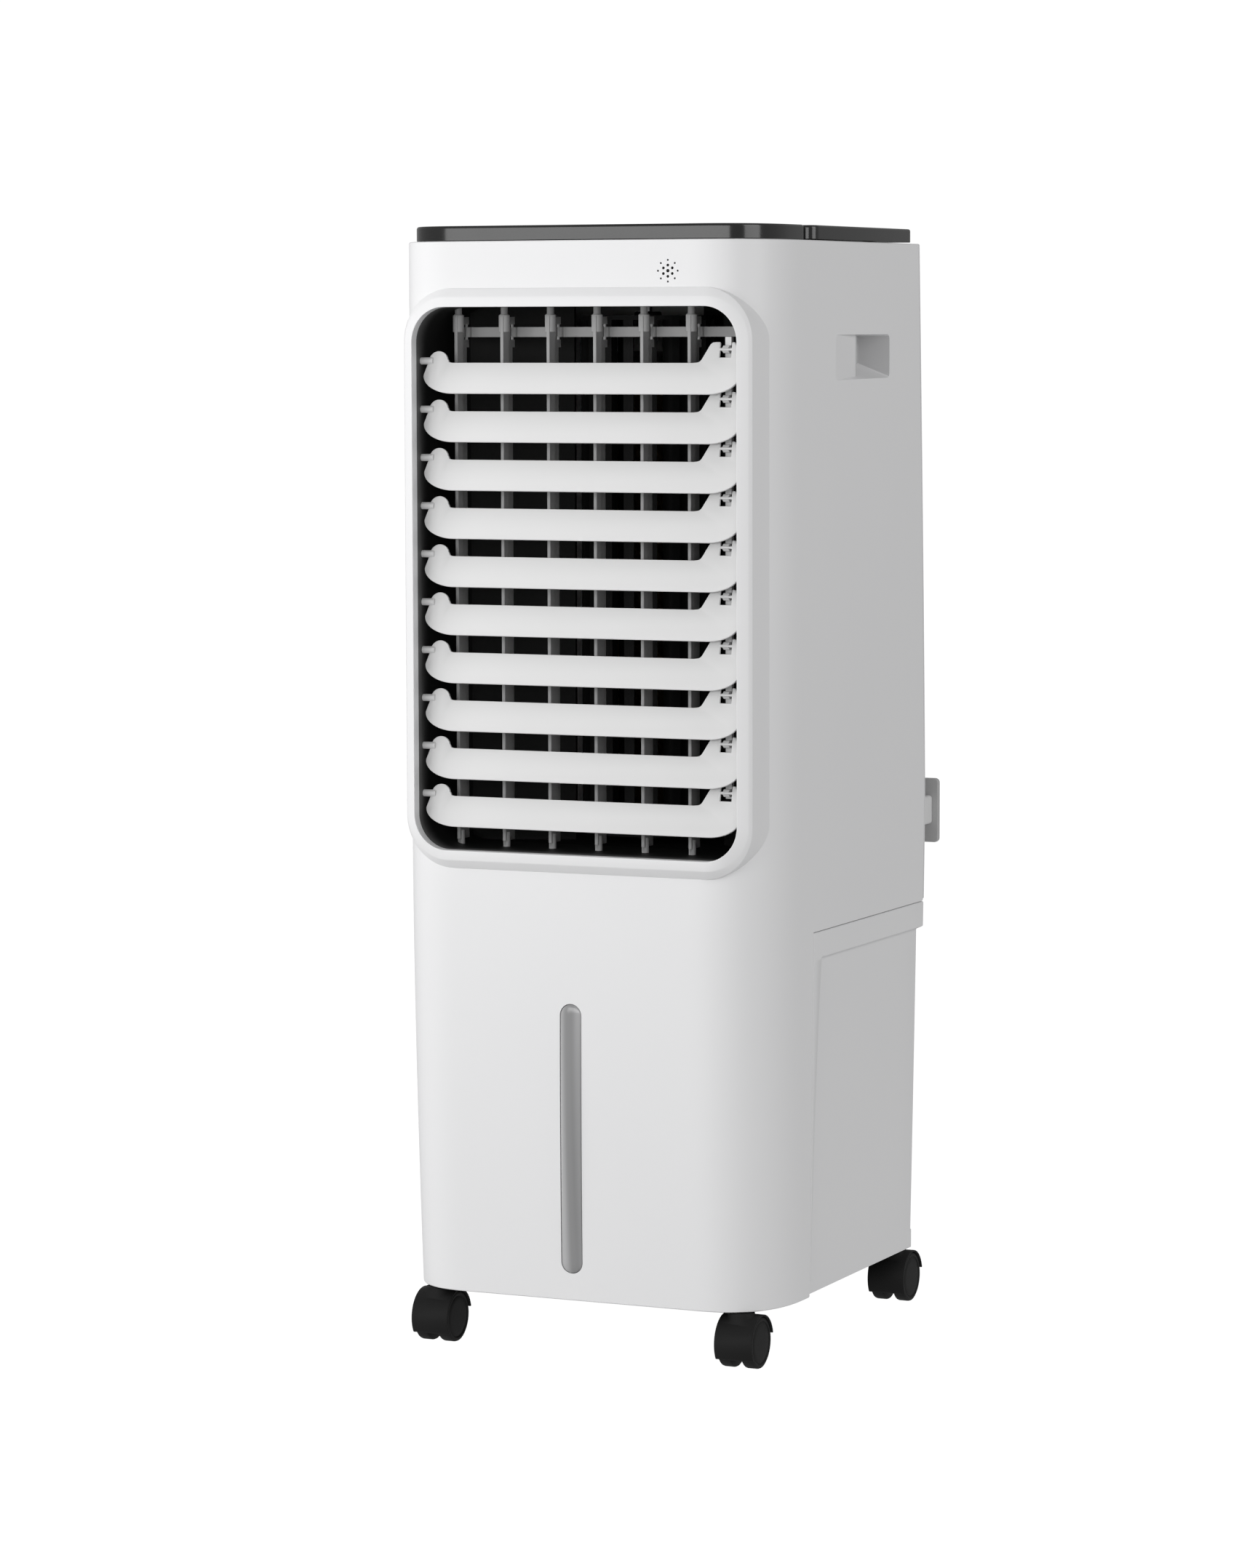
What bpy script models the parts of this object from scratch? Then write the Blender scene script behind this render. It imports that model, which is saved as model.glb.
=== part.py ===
"""Portable evaporative air cooler: a slim white tower on four casters.

Ten tilting louvers and six swinging vanes stand in the outlet, a tangential fan turns behind them,
and a pump wets the cooling pad from a water tank that slides out at the rear.
Lengths are in millimetres; MM turns them into Blender's metres. +X is the right side seen from the
front, the front faces -Y, the floor is z = 0 and the origin is the middle of the footprint.
"""

import math

import bmesh
import bpy
from mathutils import Matrix, Vector

MM = 0.001
GAP = 0.4                     # clearance between pieces that touch

# ---- driving dimensions -------------------------------------------------------------------------
HEIGHT = 745.0                # floor to the top of the cap
WIDTH = 269.0                 # across the casing sides
DEPTH = 285.0                 # casing front to back, at the top
WALL = 2.5                    # moulded casing wall
CASING_BOTTOM = 38.0
CASING_TOP = 735.0
LIP_PROUD = 6.0               # outlet frame lip in front of the casing front
REAR_BULGE = 13.5             # the back swells by this much at mid height
HOOK_REACH = 46.5             # cord hooks stand behind the back at the top
FRONT_SETBACK = 12.0          # the front leans back by this much at the bottom

HALF = WIDTH / 2
FRONT = -(DEPTH + LIP_PROUD + HOOK_REACH) / 2 + LIP_PROUD
REAR = FRONT + DEPTH
CORNER_X = 50.0               # front corner, measured across
CORNER_Y = 66.0               # front corner, measured along the side
CORNER_POWER = 2.5

BOW_START = 338.0             # the front leans back below this height
BULGE_HEIGHT = 352.0          # height of the widest part of the back

OUTLET_X = 4.9
OUTLET_Z = 514.0
OUTLET_HALF = (115.6, 178.2)
OUTLET_RADIUS = 23.0
JAMB = 3.0
DUCT_DEPTH = 62.0             # outlet frame reaches this far behind the casing front

LOUVER_COUNT = 10
LOUVER_PITCH = 31.7
LOUVER_TOP = 657.1            # pivot height of the first louver
LOUVER_Y = FRONT + 8.6
LOUVER_CRANK = 7.6            # link pin above the pivot
LOUVER_TILT = math.radians(11.0)

VANE_COUNT = 6
VANE_PITCH = 33.6
VANE_FIRST_X = -95.0
VANE_Y = FRONT + 32.0
VANE_CRANK = 12.0             # link pin behind the pivot

SEAM = 280.6                  # lower edge of the casing's sides, above the tank
TANK_RIM = SEAM - 0.3         # the tank's top edge, just clear of the casing
TANK_SIDE_FRONT = (FRONT + 91.0, FRONT + 83.0)   # tank's front edge on the side, at the seam and at the floor
PANEL_INSET = 5.0

FAN_Y = FRONT + 126.0
FAN_RADIUS = 45.0
DUCT_FLOOR = 335.0
DUCT_CEILING = 692.6
PAD_HALF = 99.0
PAD_BOTTOM = 305.0
PAD_TOP = 645.0
LID_FRONT = FRONT + 98.0
LID_REAR = REAR - 9.5
LID_BOTTOM = CASING_TOP + 0.8

CASTER_FRONT = (110.5, FRONT + 25.0)
CASTER_REAR = (118.0, REAR - 7.8)
CASTER_TRAIL = 4.0
WHEEL_RADIUS = 17.0
WHEEL_WIDTH = 8.6
HOOD_HALF = 13.4


# ---- scene and material helpers -----------------------------------------------------------------
def clear_scene():
    """Remove every object that the file starts with."""
    for item in list(bpy.data.objects):
        bpy.data.objects.remove(item, do_unlink=True)


def make_material(name, colour, roughness, metallic=0.0):
    """Return a Principled material of one colour."""
    material = bpy.data.materials.new(name)
    material.use_nodes = True
    shader = material.node_tree.nodes["Principled BSDF"]
    shader.inputs["Base Color"].default_value = (*colour, 1.0)
    shader.inputs["Roughness"].default_value = roughness
    shader.inputs["Metallic"].default_value = metallic
    material.diffuse_color = (*colour, 1.0)
    return material


def make_object(name, shape, material, origin=(0.0, 0.0, 0.0)):
    """Make a mesh object from (vertices, faces) in millimetres, with its origin where asked."""
    vertices, faces = shape
    base = Vector(origin)
    mesh = bpy.data.meshes.new(name)
    mesh.from_pydata([(Vector(v) - base) * MM for v in vertices], [], faces)
    work = bmesh.new()
    work.from_mesh(mesh)
    bmesh.ops.recalc_face_normals(work, faces=work.faces)
    work.to_mesh(mesh)
    work.free()
    mesh.shade_smooth()
    mesh.set_sharp_from_angle(angle=math.radians(35))
    if material is not None:
        mesh.materials.append(material)
    item = bpy.data.objects.new(name, mesh)
    item.location = base * MM
    bpy.context.scene.collection.objects.link(item)
    return item


def boolean(item, shape, operation):
    """Add or cut a shape with a Boolean modifier; the tool object is hidden."""
    tool = make_object(item.name + "_tool", shape, None)
    tool.hide_render = True
    tool.display_type = "WIRE"
    modifier = item.modifiers.new(operation.lower(), "BOOLEAN")
    modifier.operation = operation
    modifier.object = tool
    modifier.solver = "EXACT"
    return item


def cut(item, shape):
    """Cut a shape out of an object."""
    return boolean(item, shape, "DIFFERENCE")


def add(item, shape):
    """Join a shape to an object as one body."""
    return boolean(item, shape, "UNION")


# ---- shape helpers: each returns (vertices, faces) ----------------------------------------------
def merge(shapes):
    """Put several shapes into one list of vertices and faces."""
    vertices = []
    faces = []
    for part_vertices, part_faces in shapes:
        start = len(vertices)
        vertices.extend(part_vertices)
        faces.extend([tuple(start + index for index in face) for face in part_faces])
    return vertices, faces


def loft(loops, ring=False):
    """Join equal loops of points; a ring joins the last loop to the first, otherwise ends are capped."""
    count = len(loops[0])
    vertices = [point for loop in loops for point in loop]
    faces = []
    spans = len(loops) if ring else len(loops) - 1
    for span in range(spans):
        here = span * count
        there = ((span + 1) % len(loops)) * count
        for index in range(count):
            after = (index + 1) % count
            faces.append((here + index, here + after, there + after, there + index))
    if not ring:
        faces.append(tuple(range(count)))
        last = (len(loops) - 1) * count
        faces.append(tuple(last + index for index in range(count)))
    return vertices, faces


def place(axis, a, b, along):
    """Turn outline coordinates (a, b) and a distance along an axis into a point."""
    if axis == "X":
        return (along, a, b)
    if axis == "Y":
        return (a, along, b)
    return (a, b, along)


def prism(outline, axis, low, high):
    """Extrude an outline along an axis: (y, z) along X, (x, z) along Y, (x, y) along Z."""
    return loft([[place(axis, a, b, along) for a, b in outline] for along in (low, high)])


def box(low, high):
    """A box between two corners."""
    outline = [(low[0], low[1]), (high[0], low[1]), (high[0], high[1]), (low[0], high[1])]
    return prism(outline, "Z", low[2], high[2])


def circle(a, b, radius, segments=16, phase=0.0):
    """Points of a circle."""
    step = 2 * math.pi / segments
    return [(a + radius * math.cos(phase + step * i), b + radius * math.sin(phase + step * i))
            for i in range(segments)]


def cylinder(axis, a, b, radius, low, high, segments=16):
    """A cylinder along an axis."""
    return prism(circle(a, b, radius, segments), axis, low, high)


def lathe(axis, a, b, profile, segments=24):
    """Stack circles of (radius, along) pairs; the first and last are capped."""
    return loft([[place(axis, u, v, along) for u, v in circle(a, b, radius, segments)]
                 for radius, along in profile])


def rounded(half_a, half_b, radius, centre=(0.0, 0.0), segments=5):
    """A rectangle with round corners."""
    points = []
    for quarter, (sign_a, sign_b) in enumerate(((1, 1), (-1, 1), (-1, -1), (1, -1))):
        for step in range(segments + 1):
            angle = math.pi / 2 * (quarter + step / segments)
            points.append((centre[0] + sign_a * (half_a - radius) + radius * math.cos(angle),
                           centre[1] + sign_b * (half_b - radius) + radius * math.sin(angle)))
    return points


def tray(low, high, wall, floor):
    """A box that is open at the top."""
    outer = [(low[0], low[1]), (high[0], low[1]), (high[0], high[1]), (low[0], high[1])]
    inner = [(low[0] + wall, low[1] + wall), (high[0] - wall, low[1] + wall),
             (high[0] - wall, high[1] - wall), (low[0] + wall, high[1] - wall)]
    heights = ((outer, low[2]), (outer, high[2]), (inner, high[2]), (inner, low[2] + floor))
    return loft([[(x, y, z) for x, y in outline] for outline, z in heights])


# ---- the body's outer form ----------------------------------------------------------------------
def setback(z):
    """How far the front leans back at a height."""
    drop = max(0.0, BOW_START - z) / (BOW_START - CASING_BOTTOM)
    return FRONT_SETBACK * drop ** 1.7


def rear_at(z):
    """The back's position at a height."""
    if z > BULGE_HEIGHT:
        reach = (z - BULGE_HEIGHT) / (CASING_TOP - BULGE_HEIGHT)
    else:
        reach = (BULGE_HEIGHT - z) / (BULGE_HEIGHT - CASING_BOTTOM)
    return REAR + REAR_BULGE * (1 - min(1.0, reach) ** 1.25)


def front_corner(inset, z, steps=9):
    """Right front corner in plan, from the front face to the side, as (x, y)."""
    half = HALF - inset
    across = CORNER_X - inset
    along = CORNER_Y - inset
    front = FRONT + inset + setback(z)
    power = 2 / CORNER_POWER
    points = []
    for step in range(steps + 1):
        angle = math.pi / 2 * step / steps
        points.append((half - across + across * math.sin(angle) ** power,
                       front + along - along * math.cos(angle) ** power))
    return points


def both_sides(right):
    """Mirror a right-hand run of points into a run from the left end to the right end."""
    return [(-x, y) for x, y in reversed(right)] + list(right)


def wrap(outer_run, inner_run, heights):
    """A wall that follows an open run of plan points at each height."""
    loops = []
    for z in heights:
        outline = outer_run(z) + list(reversed(inner_run(z)))
        loops.append([(x, y, z) for x, y in outline])
    return loft(loops)


BODY_HEIGHTS = (38, 60, 85, 115, 150, 190, 235, 280, 338, 400, 470, 540, 610, 680, 735)
BACK_HEIGHTS = (282, 310, 338, 370, 420, 480, 540, 610, 680, 735)


# ---- casing -------------------------------------------------------------------------------------
def seam_outline(gap):
    """Side view (y, z) of the space that the tank takes from the casing's sides."""
    top, bottom = TANK_SIDE_FRONT
    end = REAR + 60
    return [(bottom - gap, 0.0), (top - gap, SEAM + gap), (end, SEAM + gap), (end, 0.0)]


def handle_pocket(side):
    """The finger pocket in one side: a shallow ramp in front and a deep grip behind."""
    front = FRONT + 127.0
    grip = front + 50.0
    back = front + 98.0
    depth = 24.0
    plan = [(HALF + 2, front), (HALF, front), (HALF - 7, grip - 4), (HALF - 9, grip),
            (HALF - depth, grip + 2), (HALF - depth, back), (HALF + 2, back)]
    low = [(side * x, y, 643.5 + (HALF - min(x, HALF)) * 0.42) for x, y in plan]
    high = [(side * x, y, 673.5) for x, y in plan]
    return loft([low, high])


def handle_block(side):
    """The moulded cup around the finger pocket."""
    front = FRONT + 123.0
    plan = [(HALF - 1, front), (HALF - 4, front), (HALF - 12, front + 49), (HALF - 26.5, front + 51),
            (HALF - 26.5, front + 105), (HALF - 1, front + 105)]
    return loft([[(side * x, y, z) for x, y in plan] for z in (640.5, 676.0)])


def outlet_hole():
    """The hole that the outlet frame fills in the casing front."""
    outline = rounded(OUTLET_HALF[0] + 8.6 + GAP, OUTLET_HALF[1] + 12.4 + GAP, OUTLET_RADIUS + 11.3,
                      (OUTLET_X, OUTLET_Z))
    return prism(outline, "Y", FRONT - 20, FRONT + 34)


LENS_X = -3.0
LENS_Z = (56.8, 236.9)
LENS_HALF = 7.4


def lens_slot(clearance):
    """Outline (x, z) of the level window."""
    middle = (LENS_Z[0] + LENS_Z[1]) / 2
    reach = (LENS_Z[1] - LENS_Z[0]) / 2
    return rounded(LENS_HALF + clearance, reach + clearance, LENS_HALF + clearance - 0.01, (LENS_X, middle))


def build_front_casing(material):
    """White shell: the front and both sides in one moulding."""
    def outer(z):
        return both_sides(front_corner(0.0, z) + [(HALF, rear_at(z) - 6.0)])

    def inner(z):
        return both_sides(front_corner(WALL, z) + [(HALF - WALL, rear_at(z) - 6.0)])

    casing = make_object("front_casing", wrap(outer, inner, BODY_HEIGHTS), material)
    cut(casing, prism(seam_outline(GAP), "X", -HALF - 20, HALF + 20))
    cut(casing, outlet_hole())
    cut(casing, prism(lens_slot(GAP), "Y", FRONT - 10, FRONT + 25))
    add(casing, merge([handle_block(1), handle_block(-1)]))
    cut(casing, merge([handle_pocket(1), handle_pocket(-1)]))
    return casing


def build_level_lens(material):
    """Clear window strip over the tank: gently crowned, and it follows the casing front."""
    loops = []
    rows = 18
    for row in range(rows + 1):
        turn = math.pi * row / rows
        middle = (LENS_Z[0] + LENS_Z[1]) / 2
        straight = (LENS_Z[1] - LENS_Z[0]) / 2 - LENS_HALF
        rise = -math.cos(turn)
        z = middle + rise * LENS_HALF + (straight if rise > 0 else -straight)
        if abs(rise) < 0.01:
            z = middle
        half = max(0.6, LENS_HALF * math.sqrt(max(0.0, 1 - rise * rise)))
        face = FRONT + setback(z)
        front_line = [(half * s, face + 0.5 - 1.3 * (1 - s * s)) for s in (-1, -0.5, 0, 0.5, 1)]
        outline = front_line + [(half, face + 4.5), (-half, face + 4.5)]
        loops.append([(LENS_X + x, y, z) for x, y in outline])
    return make_object("level_lens", loft(loops), material)


def build_back_panel(material):
    """Rear shell with the air inlet opening; it closes the casing and follows its swell."""
    radius = 5.0

    def run(inset):
        def points(z):
            back = rear_at(z)
            bend = [(HALF - radius + (radius - inset) * math.cos(math.pi / 2 * i / 4),
                     back - radius + (radius - inset) * math.sin(math.pi / 2 * i / 4)) for i in range(5)]
            right = [(0.02, back - inset)] + list(reversed(bend)) + [(HALF - inset, back - 5.6)]
            return both_sides(right)
        return points

    panel = make_object("back_panel", wrap(run(0.0), run(WALL), BACK_HEIGHTS), material)
    cut(panel, prism(rounded(PAD_HALF + 5, 177, 1, (0, 478), 2), "Y", REAR - 10, REAR + 40))
    cut(panel, merge([cylinder("Y", GLAND_X, GLAND_Z, 6.0 + GAP, REAR - 10, REAR + 40),
                      cylinder("Y", LOCK_X, LOCK_Z, 4.0 + GAP, REAR - 10, REAR + 40)]))
    return panel


def build_top_deck(material):
    """White top plate under the cap, with the filling hole and two ears for the lid's hinge."""
    corner = front_corner(WALL + GAP, CASING_TOP)
    plan = both_sides(corner + [(HALF - WALL - GAP, REAR - 7.0), (HALF - 9, REAR - WALL - GAP - 0.2)])
    deck = make_object("top_deck", prism(plan, "Z", CASING_TOP - 4.5, CASING_TOP - 0.1), material)
    cut(deck, prism(rounded(86, 36.3, 10, (0, REAR - 66.7)), "Z", CASING_TOP - 20, CASING_TOP + 20))
    ears = [lug("X", HINGE_Y, HINGE_Z, 3.0, CASING_TOP - 2, side * HINGE_X - 3, side * HINGE_X + 3)
            for side in (1, -1)]
    add(deck, merge(ears))
    cut(deck, merge([cylinder("X", HINGE_Y, HINGE_Z, 1.5 + 0.1, side * HINGE_X - 6, side * HINGE_X + 6, 12)
                     for side in (1, -1)]))
    return deck


def lug(axis, a, b, radius, base, low, high):
    """An ear with a round top, standing on a base height."""
    arc = [(a + radius * math.cos(math.pi * i / 8), b + radius * math.sin(math.pi * i / 8)) for i in range(9)]
    return prism([(a + radius, base)] + arc + [(a - radius, base)], axis, low, high)


HINGE_X = 100.0
HINGE_Y = LID_REAR - 3.4
HINGE_Z = LID_BOTTOM + 3.2


def cap_corner(radius, centre, start):
    """A quarter circle of plan points."""
    return [(centre[0] + radius * math.cos(start + math.pi / 2 * i / 5),
             centre[1] + radius * math.sin(start + math.pi / 2 * i / 5)) for i in range(6)]


def build_control_panel(material):
    """Dark glossy front cap with the touch controls."""
    inset = 5.0
    half = HALF - inset
    end = LID_FRONT - 6.0
    bend = cap_corner(9.0, (half - 9.0, end - 9.0), 0.0)
    plan = both_sides(front_corner(inset, CASING_TOP) + bend)
    loops = []
    for shrink, z in ((0.0, CASING_TOP + 0.3), (0.0, HEIGHT - 1.2), (1.0, HEIGHT)):
        scale = (half - shrink) / half
        middle = (FRONT + end) / 2
        loops.append([(x * scale, middle + (y - middle) * scale, z) for x, y in plan])
    return make_object("control_panel", loft(loops), material)


def build_fill_lid(material):
    """Dark glossy rear cap: a hinged lid over the ice and filling box."""
    half = HALF - 3.2
    right = cap_corner(9.0, (half - 9.0, LID_FRONT + 9.0), -math.pi / 2)
    right += cap_corner(5.0, (half - 5.0, LID_REAR - 5.0), 0.0)
    plan = both_sides(right)
    middle = (LID_FRONT + LID_REAR) / 2
    loops = []
    for shrink, chamfer, z in ((0.0, 3.0, LID_BOTTOM), (0.0, 0.0, LID_BOTTOM + 2.5), (0.0, 0.0, HEIGHT - 1.2),
                               (1.0, 0.0, HEIGHT)):
        scale = (half - shrink) / half
        loops.append([(x * scale, min(middle + (y - middle) * scale, LID_REAR - chamfer), z) for x, y in plan])
    lid = make_object("fill_lid", loft(loops), material, (0.0, HINGE_Y, HINGE_Z))
    notches = [box((side * HINGE_X - 3.8, HINGE_Y - 4.2, LID_BOTTOM - 5),
                   (side * HINGE_X + 3.8, LID_REAR + 5, HINGE_Z + 3.9)) for side in (1, -1)]
    cut(lid, merge(notches))
    cut(lid, merge([cylinder("X", HINGE_Y, HINGE_Z, 1.5 + GAP, side * HINGE_X - 13, side * HINGE_X + 13, 12)
                    for side in (1, -1)]))
    return lid


def build_lid_pins(material):
    """The two steel pins that the lid turns on."""
    pins = []
    for side, name in ((1, "right"), (-1, "left")):
        shape = cylinder("X", HINGE_Y, HINGE_Z, 1.5, side * HINGE_X - 12, side * HINGE_X + 12, 12)
        pins.append(make_object("lid_hinge_pin_" + name, shape, material, (side * HINGE_X, HINGE_Y, HINGE_Z)))
    return pins


# ---- outlet: frame, louvers and vanes -----------------------------------------------------------
def vane_x(index):
    """Pivot position of a vane."""
    return VANE_FIRST_X + VANE_PITCH * index


def louver_z(index):
    """Pivot height of a louver."""
    return LOUVER_TOP - LOUVER_PITCH * index


PIN_RADIUS = 2.4


def build_outlet_frame(material):
    """Outlet bezel with its duct: the lip, the sloping rim, and jambs that carry the pivots."""
    half_x, half_z = OUTLET_HALF
    sections = ((0.0, 0.0, 0.0, -LIP_PROUD), (7.0, 6.5, 6.5, -LIP_PROUD + 2.6), (8.6, 12.4, 11.3, 0.3),
                (8.6, 12.4, 11.3, 33.0), (JAMB, JAMB, 3.0, 33.0), (JAMB, JAMB, 3.0, DUCT_DEPTH),
                (0.0, 0.0, 0.0, DUCT_DEPTH))
    loops = []
    for grow_x, grow_z, grow_radius, depth in sections:
        outline = rounded(half_x + grow_x, half_z + grow_z, OUTLET_RADIUS + grow_radius,
                          (OUTLET_X, OUTLET_Z), 6)
        loops.append([(x, FRONT + depth, z) for x, z in outline])
    frame = make_object("outlet_frame", loft(loops, ring=True), material)
    holes = []
    for index in range(LOUVER_COUNT):
        for side in (1, -1):
            inside = OUTLET_X + side * (half_x - 2)
            outside = OUTLET_X + side * (half_x + 3)
            holes.append(cylinder("X", LOUVER_Y, louver_z(index), PIN_RADIUS + 0.25,
                                  min(inside, outside), max(inside, outside), 8))
    for index in range(VANE_COUNT):
        holes.append(cylinder("Z", vane_x(index), VANE_Y, PIN_RADIUS + 0.25,
                              OUTLET_Z + half_z - 4, OUTLET_Z + half_z + 6, 8))
        holes.append(cylinder("Z", vane_x(index), VANE_Y, PIN_RADIUS + 0.25,
                              OUTLET_Z - half_z - 6, OUTLET_Z - half_z + 4, 8))
    cut(frame, merge(holes))
    cut(frame, cylinder("Z", vane_x(VANE_COUNT - 1), VANE_Y, 20.8, 300, OUTLET_Z - half_z - JAMB, 24))
    return frame


def louver_outline():
    """Front view (x, distance above the pivot) of one louver blade."""
    left = OUTLET_X - OUTLET_HALF[0] + 2.7
    right = OUTLET_X + OUTLET_HALF[0] - 2.7
    lobe = left + 10.0
    points = [(lobe + 8.2, -1.3)]
    points += [(lobe + 6.8 * math.cos(math.pi * i / 6), 6.4 * math.sin(math.pi * i / 6)) for i in range(1, 7)]
    points += [(left + 22.0 - 22.0 * math.cos(math.pi / 2 * i / 6), -9.6 - 12.2 * math.sin(math.pi / 2 * i / 6))
               for i in range(7)]
    points += [(right - 22.0 + 22.0 * math.sin(math.pi / 2 * i / 6), -9.6 - 12.2 * math.cos(math.pi / 2 * i / 6))
               for i in range(7)]
    points += [(right, -3.0), (right - 1.5, 6.0), (right - 4.5, 12.0), (right - 6.9, 12.2)]
    points += [(right - 6.9, 2.2), (right - 15.0, 2.2), (right - 15.0, 12.2)]
    points += [(right - 21.0, 12.2), (right - 28.2, -0.8), (right - 31.0, -1.3)]
    return points


def build_louver(index, material):
    """One tilting louver: a curved blade with pivot pins and a notched tab that holds the link pin."""
    pivot = (OUTLET_X, LOUVER_Y, louver_z(index))
    thickness = 2.0
    lean = Matrix.Rotation(-LOUVER_TILT, 3, "X")

    def turned(shape):
        vertices, faces = shape
        return [Vector(pivot) + lean @ (Vector(v) - Vector(pivot)) for v in vertices], faces

    outline = [(x, pivot[2] + rise) for x, rise in louver_outline()]
    blade = prism(outline, "Y", LOUVER_Y - thickness / 2, LOUVER_Y + thickness / 2)
    blade = turned(blade)
    louver = make_object("louver_%d" % (index + 1), blade, material, pivot)
    left = OUTLET_X - OUTLET_HALF[0]
    right = OUTLET_X + OUTLET_HALF[0]
    stubs = [cylinder("X", LOUVER_Y, pivot[2], PIN_RADIUS, left - 2.6, left + 9.0, 10),
             cylinder("X", LOUVER_Y, pivot[2], PIN_RADIUS, right - 4.5, right + 2.6, 10)]
    tab = right - 2.7
    link_pin = cylinder("X", LOUVER_Y, pivot[2] + LOUVER_CRANK, 0.95, tab - 16.0, tab - 5.9, 8)
    add(louver, merge(stubs + [turned(link_pin)]))
    return louver


def clip_run(anchors, reach, spine, grip, mouth, end):
    """Outline of a link bar with a C-clip at each anchor; clips open towards smaller b, a runs along it."""
    points = []
    for a in anchors:
        outer = grip + 1.1
        start = math.asin(min(1.0, mouth / grip))
        points.append((a - outer, spine))
        points.append((a - outer, reach))
        steps = 6
        turn = [-math.pi / 2 - start - (2 * math.pi - 2 * start) * i / steps for i in range(steps + 1)]
        points.append((a - grip * math.sin(start), reach - outer + 0.2))
        points += [(a + grip * math.cos(t), reach + grip * math.sin(t)) for t in turn]
        points.append((a + grip * math.sin(start), reach - outer + 0.2))
        points.append((a + outer, reach))
        points.append((a + outer, spine))
    points += [(anchors[-1] + end, spine), (anchors[-1] + end, spine + 3.6)]
    points += [(anchors[0] - 4.0, spine + 3.6), (anchors[0] - 4.0, spine)]
    return points


def build_louver_link(material):
    """Upright bar behind the tabs: its clips hold all ten link pins, so the louvers tilt together."""
    lean_z = LOUVER_CRANK * math.cos(LOUVER_TILT)
    pin_y = LOUVER_Y + LOUVER_CRANK * math.sin(LOUVER_TILT)
    heights = [louver_z(index) + lean_z for index in reversed(range(LOUVER_COUNT))]
    run = clip_run(heights, 0.0, 3.2, 1.35, 0.75, 8.0)
    outline = [(pin_y + b, a) for a, b in run]
    middle = OUTLET_X + OUTLET_HALF[0] - 2.7 - 10.9
    return make_object("louver_link", prism(outline, "X", middle - 2.2, middle + 2.2), material,
                       (middle, pin_y, LOUVER_TOP + lean_z))


def build_vane(index, material):
    """One swinging vane: an upright blade with a notch near its top where the link clip grips."""
    x = vane_x(index)
    top = OUTLET_Z + OUTLET_HALF[1]
    bottom = OUTLET_Z - OUTLET_HALF[1]
    front = VANE_Y - 4.0
    clip = VANE_LINK_Z
    side_view = [(front, bottom + 4.0), (front + 14.0, bottom + 4.0), (front + 14.0, clip - 10.0),
                 (VANE_Y + VANE_CRANK + 1.6, clip - 10.0), (VANE_Y + VANE_CRANK + 1.6, clip - 5.0),
                 (VANE_Y + 6.5, clip - 5.0), (VANE_Y + 6.5, clip + 5.0),
                 (VANE_Y + VANE_CRANK + 1.6, clip + 5.0), (VANE_Y + VANE_CRANK + 1.6, clip + 10.0),
                 (front + 10.0, clip + 10.0), (front + 10.0, top - 6.0), (front, top - 6.0)]
    vane = make_object("vane_%d" % (index + 1), prism(side_view, "X", x - 1.1, x + 1.1), material,
                       (x, VANE_Y, OUTLET_Z))
    collar = PIN_RADIUS + 1.3
    extras = [cylinder("Z", x, VANE_Y, PIN_RADIUS, bottom - 2.7, bottom + 10.0, 10),
              lathe("Z", x, VANE_Y, [(collar, top - 16.5), (collar, top - 5.0), (PIN_RADIUS, top - 4.5),
                                     (PIN_RADIUS, top + 2.7)], 10),
              cylinder("Z", x, VANE_Y + VANE_CRANK, 0.95, clip - 6.5, clip + 6.5, 8)]
    add(vane, merge(extras))
    return vane


VANE_LINK_Z = 675.8


def build_vane_link(material):
    """Level bar behind the vanes: its clips hold all six link pins, so the vanes swing together."""
    anchors = [vane_x(index) for index in range(VANE_COUNT)]
    run = clip_run(anchors, 0.0, 3.0, 1.35, 0.75, 32.0)
    outline = [(a, VANE_Y + VANE_CRANK + b) for a, b in run]
    shape = prism(outline, "Z", VANE_LINK_Z - 3.3, VANE_LINK_Z + 3.3)
    return make_object("vane_link", shape, material, (anchors[0], VANE_Y + VANE_CRANK, VANE_LINK_Z))


def build_swing_motor(material):
    """Small geared motor under the outlet: its hub takes the lower pin of the last vane."""
    x = vane_x(VANE_COUNT - 1)
    top = OUTLET_Z - OUTLET_HALF[1] - JAMB - GAP
    motor = make_object("swing_motor", lathe("Z", x, VANE_Y, [(19.0, top - 20), (20.0, top - 19),
                                                              (20.0, top - 5.5), (19.0, top - 4.5)], 24), material)
    add(motor, cylinder("Z", x, VANE_Y, 5.0, top - 6, top, 16))
    return motor


# ---- fan ----------------------------------------------------------------------------------------
def arc(radius_start, radius_end, start, end, steps):
    """Plan points of a spiral about the fan's axis, angles in degrees from +X."""
    points = []
    for step in range(steps + 1):
        share = step / steps
        angle = math.radians(start + (end - start) * share)
        radius = radius_start + (radius_end - radius_start) * share
        points.append((radius * math.cos(angle), FAN_Y + radius * math.sin(angle)))
    return points


def thick(line, thickness):
    """Give a plan polyline a thickness on its left side."""
    other = []
    for index, (x, y) in enumerate(line):
        before = line[max(0, index - 1)]
        after = line[min(len(line) - 1, index + 1)]
        direction = Vector((after[0] - before[0], after[1] - before[1])).normalized()
        other.append((x - direction.y * thickness, y + direction.x * thickness))
    return list(line) + list(reversed(other))


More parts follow.
